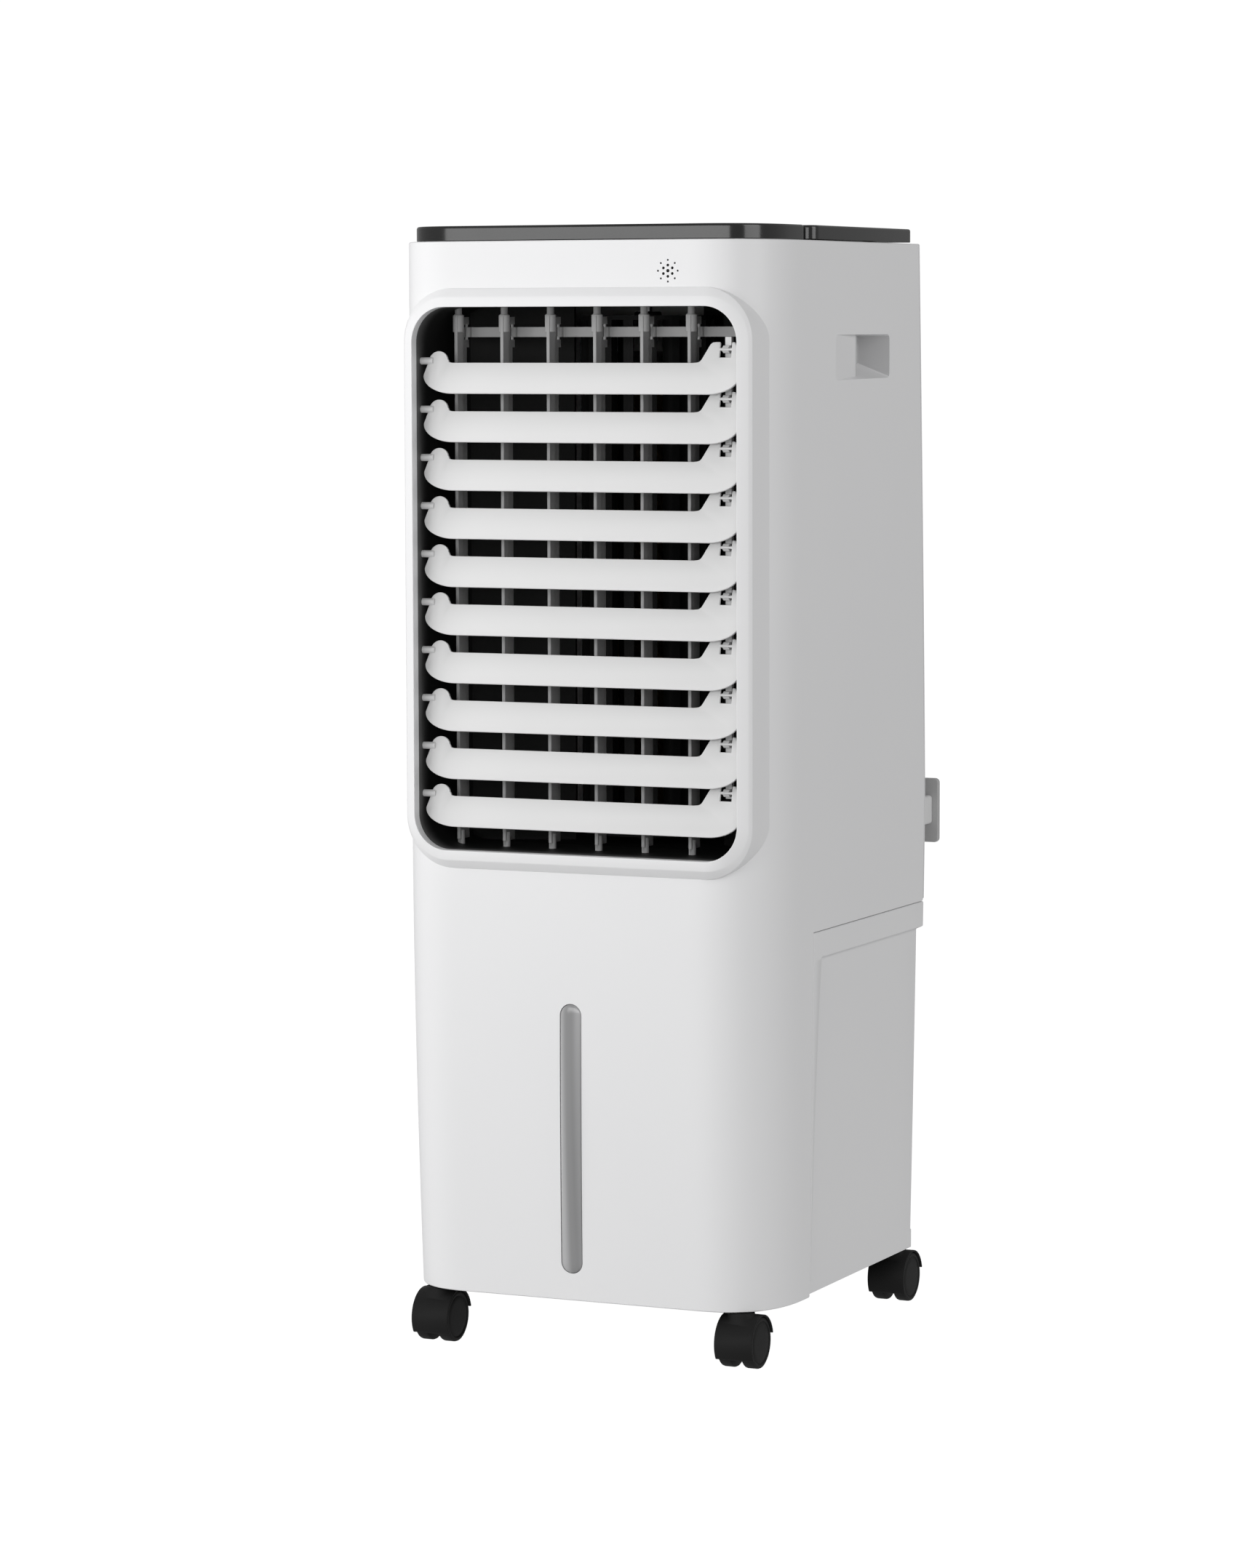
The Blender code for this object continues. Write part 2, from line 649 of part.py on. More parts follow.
def build_fan_duct(material):
    """Scroll housing of the fan: two upright walls between a floor and a ceiling."""
    mouth = FRONT + DUCT_DEPTH + GAP
    left = OUTLET_X - OUTLET_HALF[0] - 2.5
    right = OUTLET_X + OUTLET_HALF[0] + 2.5
    plan = [(left, mouth), (right, mouth), (right, mouth + 18), (72, FAN_Y + 52), (-60, FAN_Y + 52),
            (left, mouth + 18)]
    duct = make_object("fan_duct", prism(plan, "Z", DUCT_FLOOR - 2.5, DUCT_FLOOR), material)
    scroll = [(right - 2.4, mouth)] + [(right - 2.4, mouth + 10)] + arc(70, 49.5, -18, 62, 10)
    tongue = [(left + 2.4, mouth + 6)] + [(left + 2.4, mouth)] + [(left, mouth)]
    tongue = [(left, mouth), (left + 3, mouth), (left + 8, mouth + 8)] + arc(50, 50, 214, 190, 4)
    tongue += [(-53, FAN_Y - 8), (-57, FAN_Y - 30), (left, mouth + 12)]
    walls = [prism(thick(scroll, 2.4), "Z", DUCT_FLOOR - 1.5, DUCT_CEILING + 1.5),
             prism(tongue, "Z", DUCT_FLOOR - 1.5, DUCT_CEILING + 1.5),
             prism(plan, "Z", DUCT_CEILING, DUCT_CEILING + 2.5)]
    for shape in walls:
        add(duct, shape)
    cut(duct, merge([cylinder("Z", 0, FAN_Y, 8.0, DUCT_FLOOR - 10, DUCT_FLOOR + 10, 20),
                     cylinder("Z", 0, FAN_Y, 10.0, DUCT_CEILING - 10, DUCT_CEILING + 10, 20)]))
    return duct


def build_impeller(material):
    """Tangential fan wheel: a cage of blades between end discs, with stub shafts."""
    low = DUCT_FLOOR + 5.0
    high = DUCT_CEILING - 6.0
    wheel = make_object("impeller", cylinder("Z", 0, FAN_Y, FAN_RADIUS, low, high, 48), material,
                        (0.0, FAN_Y, (low + high) / 2))
    cut(wheel, cylinder("Z", 0, FAN_Y, FAN_RADIUS - 9.0, low + 3.0, high - 3.0, 24))
    slots = []
    blades = 18
    bays = 2
    bay = (high - low - 3.0) / bays
    for level in range(bays):
        bottom = low + 3.0 + bay * level
        for blade in range(blades):
            turn = Matrix.Rotation(2 * math.pi * blade / blades, 3, "Z")
            outline = [(FAN_RADIUS - 12, -1.6), (FAN_RADIUS + 3, 1.8), (FAN_RADIUS + 3, 11.6),
                       (FAN_RADIUS - 12, 5.2)]
            rotated = [turn @ Vector((x, y, 0.0)) for x, y in outline]
            slots.append(prism([(p.x, FAN_Y + p.y) for p in rotated], "Z", bottom, bottom + bay - 3.0))
    cut(wheel, merge(slots))
    add(wheel, merge([cylinder("Z", 0, FAN_Y, 3.0, low - 6.0, low + 1.0, 16),
                      lathe("Z", 0, FAN_Y, [(9.0, high - 1.0), (9.0, high + 2.0), (8.0, high + 2.6)], 16)]))
    cut(wheel, cylinder("Z", 0, FAN_Y, 3.0 + GAP, high - 2.0, high + 10.0, 16))
    return wheel


def build_impeller_bearing(material):
    """Rubber-mounted bush under the fan wheel."""
    sections = ((3.3, DUCT_FLOOR - 4.5), (3.3, DUCT_FLOOR + 4.0), (7.6, DUCT_FLOOR + 4.0),
                (7.6, DUCT_FLOOR - 2.9), (10.0, DUCT_FLOOR - 2.9), (10.0, DUCT_FLOOR - 4.5))
    loops = [[(x, y, z) for x, y in circle(0, FAN_Y, radius, 20)] for radius, z in sections]
    return make_object("impeller_bearing", loft(loops, ring=True), material)


def build_blower_motor(material):
    """Shaded-pole fan motor on the duct's ceiling, with its shaft in the impeller hub."""
    base = DUCT_CEILING + 2.5 + GAP
    profile = [(39.0, base), (41.0, base + 2), (41.0, base + 24), (36.0, base + 29), (14.0, base + 31)]
    motor = make_object("blower_motor", lathe("Z", 0, FAN_Y, profile, 32), material)
    add(motor, lathe("Z", 0, FAN_Y, [(3.0, DUCT_CEILING - 4.6), (3.0, base + 2)], 16))
    return motor


# ---- water and air treatment --------------------------------------------------------------------
PAD_BACK = REAR - 8.0
PAD_FRONT = REAR - 38.0
PUMP = (98.0, REAR - 52.0)


def build_cooling_pad(material):
    """Cellulose pad that the water runs down and the air is drawn through."""
    return make_object("cooling_pad", box((-PAD_HALF, PAD_FRONT, PAD_BOTTOM), (PAD_HALF, PAD_BACK, PAD_TOP)), material)


def build_distributor(material):
    """Perforated trough over the pad."""
    low = (-PAD_HALF - 3, PAD_FRONT - 3, PAD_TOP + 4)
    high = (PAD_HALF + 3, PAD_BACK + 1, PAD_TOP + 17)
    trough = make_object("water_distributor", tray(low, high, 2.0, 2.0), material)
    middle = (PAD_FRONT + PAD_BACK) / 2
    holes = [cylinder("Z", -88 + 22 * i, middle, 1.8, low[2] - 5, low[2] + 6, 8) for i in range(9)]
    cut(trough, merge(holes))
    return trough


def build_ice_box(material):
    """Bin under the lid for ice and water; its spout drains towards the tank."""
    low = (-88.0, REAR - 105.0, 672.0)
    high = (88.0, REAR - 28.4, CASING_TOP - 5.0)
    bin_box = make_object("ice_box", tray(low, high, 2.0, 2.0), material)
    cut(bin_box, cylinder("Z", 60, REAR - 60, 5.0, low[2] - 5, low[2] + 8, 16))
    return bin_box


def build_pump(material):
    """Submersible pump near the tank floor."""
    x, y = PUMP
    pump = make_object("pump", prism(rounded(17, 15, 5, (x, y), 3), "Z", 54, 92), material)
    add(pump, cylinder("Z", x, y, 6.0, 90, 100, 16))
    cut(pump, cylinder("Z", x, y, 3.5, 80, 110, 12))
    return pump


def build_riser(material):
    """Tube that takes the water from the pump up to the trough."""
    x, y = PUMP
    sections = ((3.5, 100.6), (3.5, PAD_TOP + 24), (5.0, PAD_TOP + 24), (5.0, 100.6))
    loops = [[(u, v, z) for u, v in circle(x, y, radius, 12)] for radius, z in sections]
    return make_object("riser_pipe", loft(loops, ring=True), material)


def build_pad_cassette(material):
    """Removable rear grille: a curved frame with slats, which holds the filter and the pad."""
    half = PAD_HALF + 4.4
    low, high = 302.0, 654.4

    def run(inset):
        def points(z):
            return both_sides([(0.02, rear_at(z) + 0.8 - inset), (half, rear_at(z) + 0.8 - inset)])
        return points

    heights = (low, 330, 360, 400, 450, 500, 550, 600, high)
    grille = make_object("pad_cassette", wrap(run(0.0), run(3.4), heights), material)
    slots = []
    rows = 18
    columns = 2
    pitch_z = (high - low - 16) / rows
    pitch_x = (2 * half - 14) / columns
    for row in range(rows):
        for column in range(columns):
            bottom = low + 8 + pitch_z * row + 2.4
            left = -half + 7 + pitch_x * column + 2.5
            slots.append(box((left, REAR - 10, bottom), (left + pitch_x - 5, REAR + 40, bottom + pitch_z - 4.8)))
    cut(grille, merge(slots))
    return grille


def build_dust_filter(material):
    """Thin framed filter between the grille and the pad."""
    sheet = make_object("dust_filter", box((-98, REAR - 6.2, 306), (98, REAR - 5.0, 642)), material)
    windows = [box((-92 + 62.5 * i, REAR - 10, 312 + 81.5 * j), (-92 + 62.5 * i + 59, REAR, 312 + 81.5 * j + 79))
               for i in range(3) for j in range(4)]
    net = [box((-95, REAR - 5.8, 309), (95, REAR - 5.4, 639))]
    cut(sheet, merge(windows))
    add(sheet, merge(net))
    return sheet


# ---- tank ---------------------------------------------------------------------------------------
def tank_side_front(z):
    """Front edge of the tank's flank at a height."""
    top, bottom = TANK_SIDE_FRONT
    return bottom + (top - bottom) * z / SEAM


def tank_panel_front(z):
    """Front edge of the recessed side panel: it runs into the tank's own edge at the bottom."""
    share = min(1.0, max(0.0, (z - CASING_BOTTOM) / (262.0 - CASING_BOTTOM)))
    return tank_side_front(z) + 2.0 + 12.0 * share ** 2


def tank_loop(z, recess):
    """Outer plan of the tank: a nose inside the casing, and flanks that are flush or recessed."""
    nose = [(x, y) for x, y in front_corner(6.5, z, 6)]
    step = tank_side_front(z) + GAP
    flank = HALF - recess
    back = rear_at(z) - (0.0 if recess else 0.0)
    right = nose + [(HALF - 6.5, step), (HALF, step), (HALF, tank_panel_front(z)),
                    (flank, tank_panel_front(z) + 2.0)]
    right += [(flank - 6 + 6 * math.cos(math.pi / 2 * i / 3), back - 6 + 6 * math.sin(math.pi / 2 * i / 3))
              for i in range(4)]
    return [(x, y, z) for x, y in both_sides(right)]


def tank_hollow(z, height):
    """Inner plan of the tank at a height, with the same number of points as the outer plan."""
    nose = [(x, y) for x, y in front_corner(9.0, z, 6)]
    step = tank_side_front(z) + 3.0
    flank = HALF - PANEL_INSET - WALL
    back = rear_at(z) - WALL
    right = nose + [(HALF - 9.0, step), (flank, step), (flank, tank_panel_front(z) + 1.0),
                    (flank, tank_panel_front(z) + 3.0)]
    right += [(flank - 5 + 5 * math.cos(math.pi / 2 * i / 3), back - 5 + 5 * math.sin(math.pi / 2 * i / 3))
              for i in range(4)]
    return [(x, y, height) for x, y in both_sides(right)]


TANK_BOTTOM = 49.0


def build_water_tank(material):
    """Water tank: a deep drawer whose flanks and back are part of the cooler's outside."""
    levels = (TANK_BOTTOM, 75, 110, 150, 190, 230, 260.5)
    loops = [tank_loop(z, PANEL_INSET) for z in levels]
    loops += [tank_loop(z, 0.0) for z in (263.5, TANK_RIM)]
    loops += [tank_hollow(z, z) for z in (TANK_RIM, 230, 150, TANK_BOTTOM + WALL)]
    tank = make_object("water_tank", loft(loops), material)
    low = tank_side_front(CASING_BOTTOM) + GAP
    flank = HALF - PANEL_INSET
    back = rear_at(45)
    skirt = [(flank, low), (flank, back - 3), (flank - 3, back), (-flank + 3, back), (-flank, back - 3),
             (-flank, low), (-flank + WALL, low), (-flank + WALL, back - WALL), (flank - WALL, back - WALL),
             (flank - WALL, low)]
    add(tank, prism(skirt, "Z", CASING_BOTTOM, TANK_BOTTOM + 1.5))
    grip_z = 236.0
    add(tank, prism(rounded(48, 14, 5, (0, grip_z)), "Y", REAR - 14, rear_at(grip_z) - 1.2))
    cut(tank, prism(rounded(45, 11, 4, (0, grip_z)), "Y", REAR - 11, REAR + 40))
    seat = rear_at(DRAIN_Z) - 0.9
    cut(tank, cylinder("Y", DRAIN_X, DRAIN_Z, 12.5, seat, REAR + 20, 20))
    cut(tank, cylinder("Y", DRAIN_X, DRAIN_Z, 5.0 + GAP, REAR - 20, REAR + 20))
    return tank


DRAIN_X = -84.0
DRAIN_Z = 64.0


def build_drain_plug(material):
    """Push-in drain plug in the tank's back."""
    face = rear_at(DRAIN_Z) - 0.9
    profile = [(5.0, face - 7.0), (5.0, face + 0.4), (10.5, face + 0.45), (10.5, face + 4.0), (9.5, face + 5.0)]
    plug = make_object("drain_plug", lathe("Y", DRAIN_X, DRAIN_Z, profile, 20), material,
                       (DRAIN_X, face, DRAIN_Z))
    add(plug, box((DRAIN_X - 7, face + 3, DRAIN_Z - 1.5), (DRAIN_X + 7, face + 9, DRAIN_Z + 1.5)))
    return plug


LOCK_X = 0.0
LOCK_Z = 293.5


def build_tank_lock(material):
    """Quarter-turn catch on the back: level, as built, it frees the tank; turned down it holds the tank."""
    face = REAR + REAR_BULGE + 0.6
    lock = make_object("tank_lock", cylinder("Y", LOCK_X, LOCK_Z, 10.0, face, face + 5.0, 24), material,
                       (LOCK_X, face, LOCK_Z))
    add(lock, prism([(LOCK_X, LOCK_Z - 5), (LOCK_X + 19, LOCK_Z - 5), (LOCK_X + 22, LOCK_Z - 3),
                     (LOCK_X + 22, LOCK_Z + 3), (LOCK_X + 19, LOCK_Z + 5), (LOCK_X, LOCK_Z + 5)],
                    "Y", face, face + 4.0))
    add(lock, cylinder("Y", LOCK_X, LOCK_Z, 4.0, REAR, face + 1.0, 16))
    return lock


# ---- small pieces on and in the body ------------------------------------------------------------
GLAND_X = -112.0
GLAND_Z = 296.0


def build_base_chassis(material):
    """Floor plate that the tank slides on and the casters plug into."""
    step = tank_side_front(CASING_BOTTOM) - GAP
    nose = front_corner(WALL + GAP, CASING_BOTTOM)
    inner = HALF - PANEL_INSET - WALL - GAP
    right = nose + [(HALF - WALL - GAP, step - 1.0), (inner, step - 1.0), (inner, REAR - 3.2)]
    chassis = make_object("base_chassis", prism(both_sides(right), "Z", CASING_BOTTOM + 0.5, TANK_BOTTOM - 0.4),
                          material)
    sockets = [cylinder("Z", side * x, y, 3.5 + GAP, 30, TANK_BOTTOM - 2.4, 12)
               for x, y in (CASTER_FRONT, CASTER_REAR) for side in (1, -1)]
    cut(chassis, merge(sockets))
    return chassis


def build_control_board(material):
    """Circuit board under the touch panel."""
    top = CASING_TOP - 7.0
    y = FRONT + 48.0
    board = make_object("control_board", box((-70, y - 22, top - 1.6), (70, y + 22, top)), material)
    add(board, merge([box((-60, y - 12, top - 11), (-28, y + 14, top - 1.0)),
                      cylinder("Z", 30, y, 8.0, top - 9, top - 1.0, 12),
                      box((44, y - 15, top - 6), (62, y + 15, top - 1.0))]))
    return board


def build_cord_hook(side, material):
    """T-shaped cleat for the mains lead at a rear corner."""
    name = "cord_hook_right" if side > 0 else "cord_hook_left"
    tip = REAR + HOOK_REACH
    base = rear_at(341.0) + 0.5
    post = prism(rounded(5.5, 10.0, 2.0, (side * 121.5, 341.0), 3), "Y", base, tip - 3.0)
    hook = make_object(name, post, material)
    add(hook, prism(rounded(9.7, 22.5, 3.0, (side * 121.7, 340.4), 3), "Y", tip - 4.2, tip))
    return hook


def build_cord_gland(material):
    """Grommet where the mains lead enters the back."""
    face = rear_at(GLAND_Z)
    sections = ((3.3, face - 6.0), (3.3, face + 7.0), (4.6, face + 7.0), (7.0, face + 2.4), (8.5, face + 2.4),
                (8.5, face + 0.5), (6.0, face + 0.5), (6.0, face - 6.0))
    loops = [[(u, y, v) for u, v in circle(GLAND_X, GLAND_Z, radius, 16)] for radius, y in sections]
    return make_object("cord_gland", loft(loops, ring=True), material)


# ---- casters ------------------------------------------------------------------------------------
def hood_outline(radius, start, end, steps):
    """Side view arc about the axle, angles in degrees from +Y."""
    return [(radius * math.cos(math.radians(start + (end - start) * i / steps)),
             WHEEL_RADIUS + radius * math.sin(math.radians(start + (end - start) * i / steps)))
            for i in range(steps + 1)]


def build_caster(name, x, stem_y, hood_material, wheel_material):
    """Twin-wheel caster: a swivelling hood with its stem and axle, and two wheels."""
    axle_y = stem_y + CASTER_TRAIL
    shell = hood_outline(WHEEL_RADIUS + 1.7, 12, 212, 16) + hood_outline(WHEEL_RADIUS + 0.5, 212, 12, 16)
    shell = [(axle_y + a, b) for a, b in shell]
    hood = make_object(name + "_hood", prism(shell, "X", x - HOOD_HALF, x + HOOD_HALF), hood_material,
                       (x, stem_y, 0.0))
    web = hood_outline(WHEEL_RADIUS + 1.0, 12, 212, 16)
    web += [(-7.0, WHEEL_RADIUS - 9.0), (6.0, WHEEL_RADIUS - 6.0)]
    web = [(axle_y + a, b) for a, b in web]
    add(hood, prism(web, "X", x - 3.4, x + 3.4))
    add(hood, lathe("Z", x, stem_y, [(9.0, 29.0), (9.0, 37.4), (3.5, 37.4), (3.5, TANK_BOTTOM - 3.2)], 14))
    cut(hood, merge([cylinder("X", axle_y, WHEEL_RADIUS, WHEEL_RADIUS + 0.6, low, high, 24)
                     for low, high in ((x + 3.5, x + 30), (x - 30, x - 3.5))]))
    add(hood, cylinder("X", axle_y, WHEEL_RADIUS, 2.0, x - HOOD_HALF + 2.4, x + HOOD_HALF - 2.4, 10))
    items = [hood]
    for side, label in ((-1, "_wheel_left"), (1, "_wheel_right")):
        inner = x + side * 4.0
        outer = x + side * (4.0 + WHEEL_WIDTH)
        edge = outer - side * 1.2
        profile = [(6.0, inner), (WHEEL_RADIUS - 1.0, inner), (WHEEL_RADIUS, inner + side * 1.2),
                   (WHEEL_RADIUS, edge), (WHEEL_RADIUS - 1.4, outer), (13.0, outer), (12.4, outer - side * 0.8),
                   (3.0, outer - side * 0.2)]
        wheel = make_object(name + label, lathe("X", axle_y, WHEEL_RADIUS, profile, 24), wheel_material,
                            (x + side * 8.0, axle_y, WHEEL_RADIUS))
        cut(wheel, cylinder("X", axle_y, WHEEL_RADIUS, 2.0 + GAP, min(x, outer - side * 1.4),
                            max(x, outer - side * 1.4), 10))
        items.append(wheel)
    return items


# ---- assembly -----------------------------------------------------------------------------------
def build():
    """Make every piece of the cooler."""
    clear_scene()
    white = make_material("white_gloss_plastic", (0.86, 0.86, 0.87), 0.22)
    blade = make_material("louver_plastic", (0.80, 0.80, 0.80), 0.35)
    dark = make_material("dark_gloss_plastic", (0.05, 0.05, 0.055), 0.15)
    black = make_material("black_plastic", (0.02, 0.02, 0.022), 0.45)
    grey = make_material("grey_plastic", (0.30, 0.30, 0.31), 0.45)
    clear = make_material("smoked_lens", (0.45, 0.46, 0.47), 0.2)
    paper = make_material("cellulose_pad", (0.42, 0.30, 0.17), 0.9)
    steel = make_material("steel", (0.55, 0.55, 0.56), 0.3, 1.0)
    green = make_material("circuit_board", (0.03, 0.16, 0.06), 0.5)
    rubber = make_material("rubber", (0.03, 0.03, 0.03), 0.8)

    build_front_casing(white)
    build_back_panel(white)
    build_top_deck(white)
    build_control_panel(dark)
    build_fill_lid(dark)
    build_lid_pins(steel)
    build_level_lens(clear)
    build_outlet_frame(white)
    for index in range(LOUVER_COUNT):
        build_louver(index, blade)
    build_louver_link(blade)
    for index in range(VANE_COUNT):
        build_vane(index, blade)
    build_vane_link(blade)
    build_swing_motor(steel)
    build_fan_duct(black)
    build_impeller(black)
    build_impeller_bearing(rubber)
    build_blower_motor(steel)
    build_cooling_pad(paper)
    build_distributor(grey)
    build_ice_box(grey)
    build_pump(black)
    build_riser(clear)
    build_pad_cassette(white)
    build_dust_filter(grey)
    build_water_tank(white)
    build_drain_plug(grey)
    build_tank_lock(grey)
    build_base_chassis(black)
    build_control_board(green)
    for side in (1, -1):
        build_cord_hook(side, grey)
    build_cord_gland(rubber)
    for row, (x, y) in (("front", CASTER_FRONT), ("rear", CASTER_REAR)):
        for side, hand in ((-1, "left"), (1, "right")):
            build_caster("caster_%s_%s" % (row, hand), side * x, y, black, black)


build()
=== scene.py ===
"""Looks for the portable evaporative air cooler: finished meshes, materials, light and camera.

Lengths are in millimetres and MM turns them into metres, as in the CAD. The casing's place and size
are read from model.glb, and the other sizes are the CAD's own.
"""

import math

import bmesh
import bpy
from mathutils import Matrix, Vector


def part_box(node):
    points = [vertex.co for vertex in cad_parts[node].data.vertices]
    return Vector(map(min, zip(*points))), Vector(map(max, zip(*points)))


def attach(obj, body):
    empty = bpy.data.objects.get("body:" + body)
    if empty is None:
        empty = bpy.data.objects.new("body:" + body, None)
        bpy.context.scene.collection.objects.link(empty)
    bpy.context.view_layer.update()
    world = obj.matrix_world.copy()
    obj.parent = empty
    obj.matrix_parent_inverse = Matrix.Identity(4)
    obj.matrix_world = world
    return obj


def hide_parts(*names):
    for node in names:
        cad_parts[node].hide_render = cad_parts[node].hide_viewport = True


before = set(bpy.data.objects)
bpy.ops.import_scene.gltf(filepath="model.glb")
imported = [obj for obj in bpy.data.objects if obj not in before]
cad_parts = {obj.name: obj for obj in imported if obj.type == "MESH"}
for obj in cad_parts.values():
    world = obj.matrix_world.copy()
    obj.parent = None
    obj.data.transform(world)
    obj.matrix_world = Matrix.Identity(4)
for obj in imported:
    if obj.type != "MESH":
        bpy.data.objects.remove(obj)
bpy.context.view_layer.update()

MM = 0.001
GAP = 0.4  # play around pins and between neighbouring shells


def corner_mm(node, which):
    """Lowest (0) or highest (1) corner of a CAD node in millimetres."""
    return [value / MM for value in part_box(node)[which]]


# ---- driving dimensions --------------------------------------------
CASING_LOW = corner_mm("front_casing", 0)
CASING_HIGH = corner_mm("front_casing", 1)
HALF = CASING_HIGH[0]
FRONT = CASING_LOW[1]
CASING_BOTTOM = CASING_LOW[2]
CASING_TOP = CASING_HIGH[2]
HEIGHT = corner_mm("control_panel", 1)[2]
DEPTH = 285.0
REAR = FRONT + DEPTH
REAR_BULGE = 13.5  # how far the back stands out at its fullest height
BULGE_HEIGHT = 352.0
WALL = 2.5
FRONT_SETBACK = 12.0  # how far the front leans back at the foot
BOW_START = 338.0  # height at which it starts to lean
CORNER_X = 50.0  # reach of the front corners across and along the casing
CORNER_Y = 66.0
CORNER_POWER = 2.5  # 2 would be an ellipse; more is squarer

OUTLET_X = 4.9
OUTLET_Z = 514.0
OUTLET_HALF = (115.6, 178.2)
OUTLET_RADIUS = 23.0
LIP_PROUD = 6.0  # how far the bezel's lip stands out of the front
BEZEL_GROWTH = (8.6, 12.4, 11.3)  # bezel past the opening: sideways, upward, and its corner radius
BEZEL_SKIRT = 33.0  # how deep the bezel's outer wall reaches
BEZEL_DEPTH = 1.0  # how deep its inner wall reaches
DUCT_DEPTH = 62.0
JAMB = 3.0  # thickness of the duct wall

LOUVER_COUNT = 10
LOUVER_PITCH = 31.7
LOUVER_TOP = 657.1
LOUVER_Y = FRONT + 8.6
LOUVER_CRANK = 7.6  # from a louver's pivot to its link pin
LOUVER_TILT = math.radians(11.0)
PIN_RADIUS = 2.4
LINK_PIN_RADIUS = 0.95

VANE_COUNT = 6
VANE_PITCH = 33.6
VANE_FIRST_X = -95.0
VANE_Y = FRONT + 32.0
VANE_CRANK = 12.0
VANE_LINK_Z = 675.8

SEAM = 280.6
TANK_SIDE_FRONT = (FRONT + 91.0, FRONT + 83.0)
PANEL_INSET = 5.0  # depth of the recessed flank
TANK_BOTTOM = 49.0
TANK_RIM = SEAM - 0.3
TANK_GRIP_Z = 236.0
DRAIN_X = -84.0
DRAIN_Z = 64.0

PANEL_BOTTOM = 282.0
INLET_HALF = (104.0, 177.0)
INLET_Z = 478.0
LID_FRONT = FRONT + 98.0
LID_REAR = REAR - 9.5
LID_BOTTOM = CASING_TOP + 0.8
HINGE_X = 100.0
HINGE_Y = LID_REAR - 3.4
HINGE_Z = LID_BOTTOM + 3.2

LENS_X = -3.0
LENS_Z = 146.85  # height of the level window's middle
LENS_REACH = 90.05  # from there to either end
LENS_HALF = 7.4
LENS_LEAN = 1.9  # how far the window's top leans to the right, and its bottom to the left
LENS_BULGE = 2.5  # how far its middle stands out

SOUND_X = 70.5
SOUND_Z = 714.8

POCKET_Y = (FRONT + 127.0, FRONT + 181.0, FRONT + 225.0)  # finger pocket: front, crest, back
POCKET_Z = (643.5, 673.5)
POCKET_DEPTH = 24.0

GLAND = (-112.0, 296.0, 6.0)  # x, z and radius of the lead's gland, and of the tank's lock
LOCK = (0.0, 293.5, 4.0)

HOOK_REACH = 46.5
HOOK_X = 121.5
HOOK_Z = 341.0
CASTER_FRONT = (110.5, FRONT + 25.0)  # a stem's distance from the middle, and its y
CASTER_REAR = (118.0, REAR - 7.8)
CASTER_TRAIL = 4.0
WHEEL_RADIUS = 17.0
WHEEL_WIDTH = 8.6
WHEEL_INNER = 4.0  # from the caster's middle to a wheel's inner face
HOOD_HALF = 13.4
AXLE_RADIUS = 2.0


# ---- shape helpers: each returns (vertices, faces) in millimetres --
def merge(shapes):
    """Put several shapes into one list of vertices and faces."""
    vertices = []
    faces = []
    for part_vertices, part_faces in shapes:
        start = len(vertices)
        vertices.extend(part_vertices)
        faces.extend([tuple(start + index for index in face) for face in part_faces])
    return vertices, faces


def loft(loops, ring=False):
    """Join equal loops of points; a ring joins the last loop to the first, otherwise ends are capped."""
    count = len(loops[0])
    vertices = [point for loop in loops for point in loop]
    faces = []
    spans = len(loops) if ring else len(loops) - 1
    for span in range(spans):
        here = span * count
        there = ((span + 1) % len(loops)) * count
        for index in range(count):
            after = (index + 1) % count
            faces.append((here + index, here + after, there + after, there + index))
    if not ring:
        faces.append(tuple(range(count)))
        last = (len(loops) - 1) * count
        faces.append(tuple(last + index for index in range(count)))
    return vertices, faces


def place(axis, a, b, along):
    """Turn outline coordinates (a, b) and a distance along an axis into a point."""
    if axis == "X":
        return (along, a, b)
    if axis == "Y":
        return (a, along, b)
    return (a, b, along)


def prism(outline, axis, low, high):
    """Extrude an outline along an axis: (y, z) along X, (x, z) along Y, (x, y) along Z."""
    return loft([[place(axis, a, b, along) for a, b in outline] for along in (low, high)])


def box(low, high):
    """A box between two corners."""
    outline = [(low[0], low[1]), (high[0], low[1]), (high[0], high[1]), (low[0], high[1])]
    return prism(outline, "Z", low[2], high[2])


def circle(a, b, radius, segments=32):
    """Points of a circle."""
    step = 2 * math.pi / segments
    return [(a + radius * math.cos(step * i), b + radius * math.sin(step * i)) for i in range(segments)]


def cylinder(axis, a, b, radius, low, high, segments=32):
    """A cylinder along an axis."""
    return prism(circle(a, b, radius, segments), axis, low, high)


def lathe(axis, a, b, profile, segments=48):
    """Stack circles of (radius, along) pairs; the first and last are capped."""
    return loft([[place(axis, u, v, along) for u, v in circle(a, b, radius, segments)]
                 for radius, along in profile])


def rounded(half_a, half_b, radius, centre=(0.0, 0.0), segments=8):
    """A rectangle with round corners."""
    points = []
    for corner, (sign_a, sign_b) in enumerate(((1, 1), (-1, 1), (-1, -1), (1, -1))):
        for step in range(segments + 1):
            angle = math.pi / 2 * (corner + step / segments)
            points.append((centre[0] + sign_a * (half_a - radius) + radius * math.cos(angle),
                           centre[1] + sign_b * (half_b - radius) + radius * math.sin(angle)))
    return points


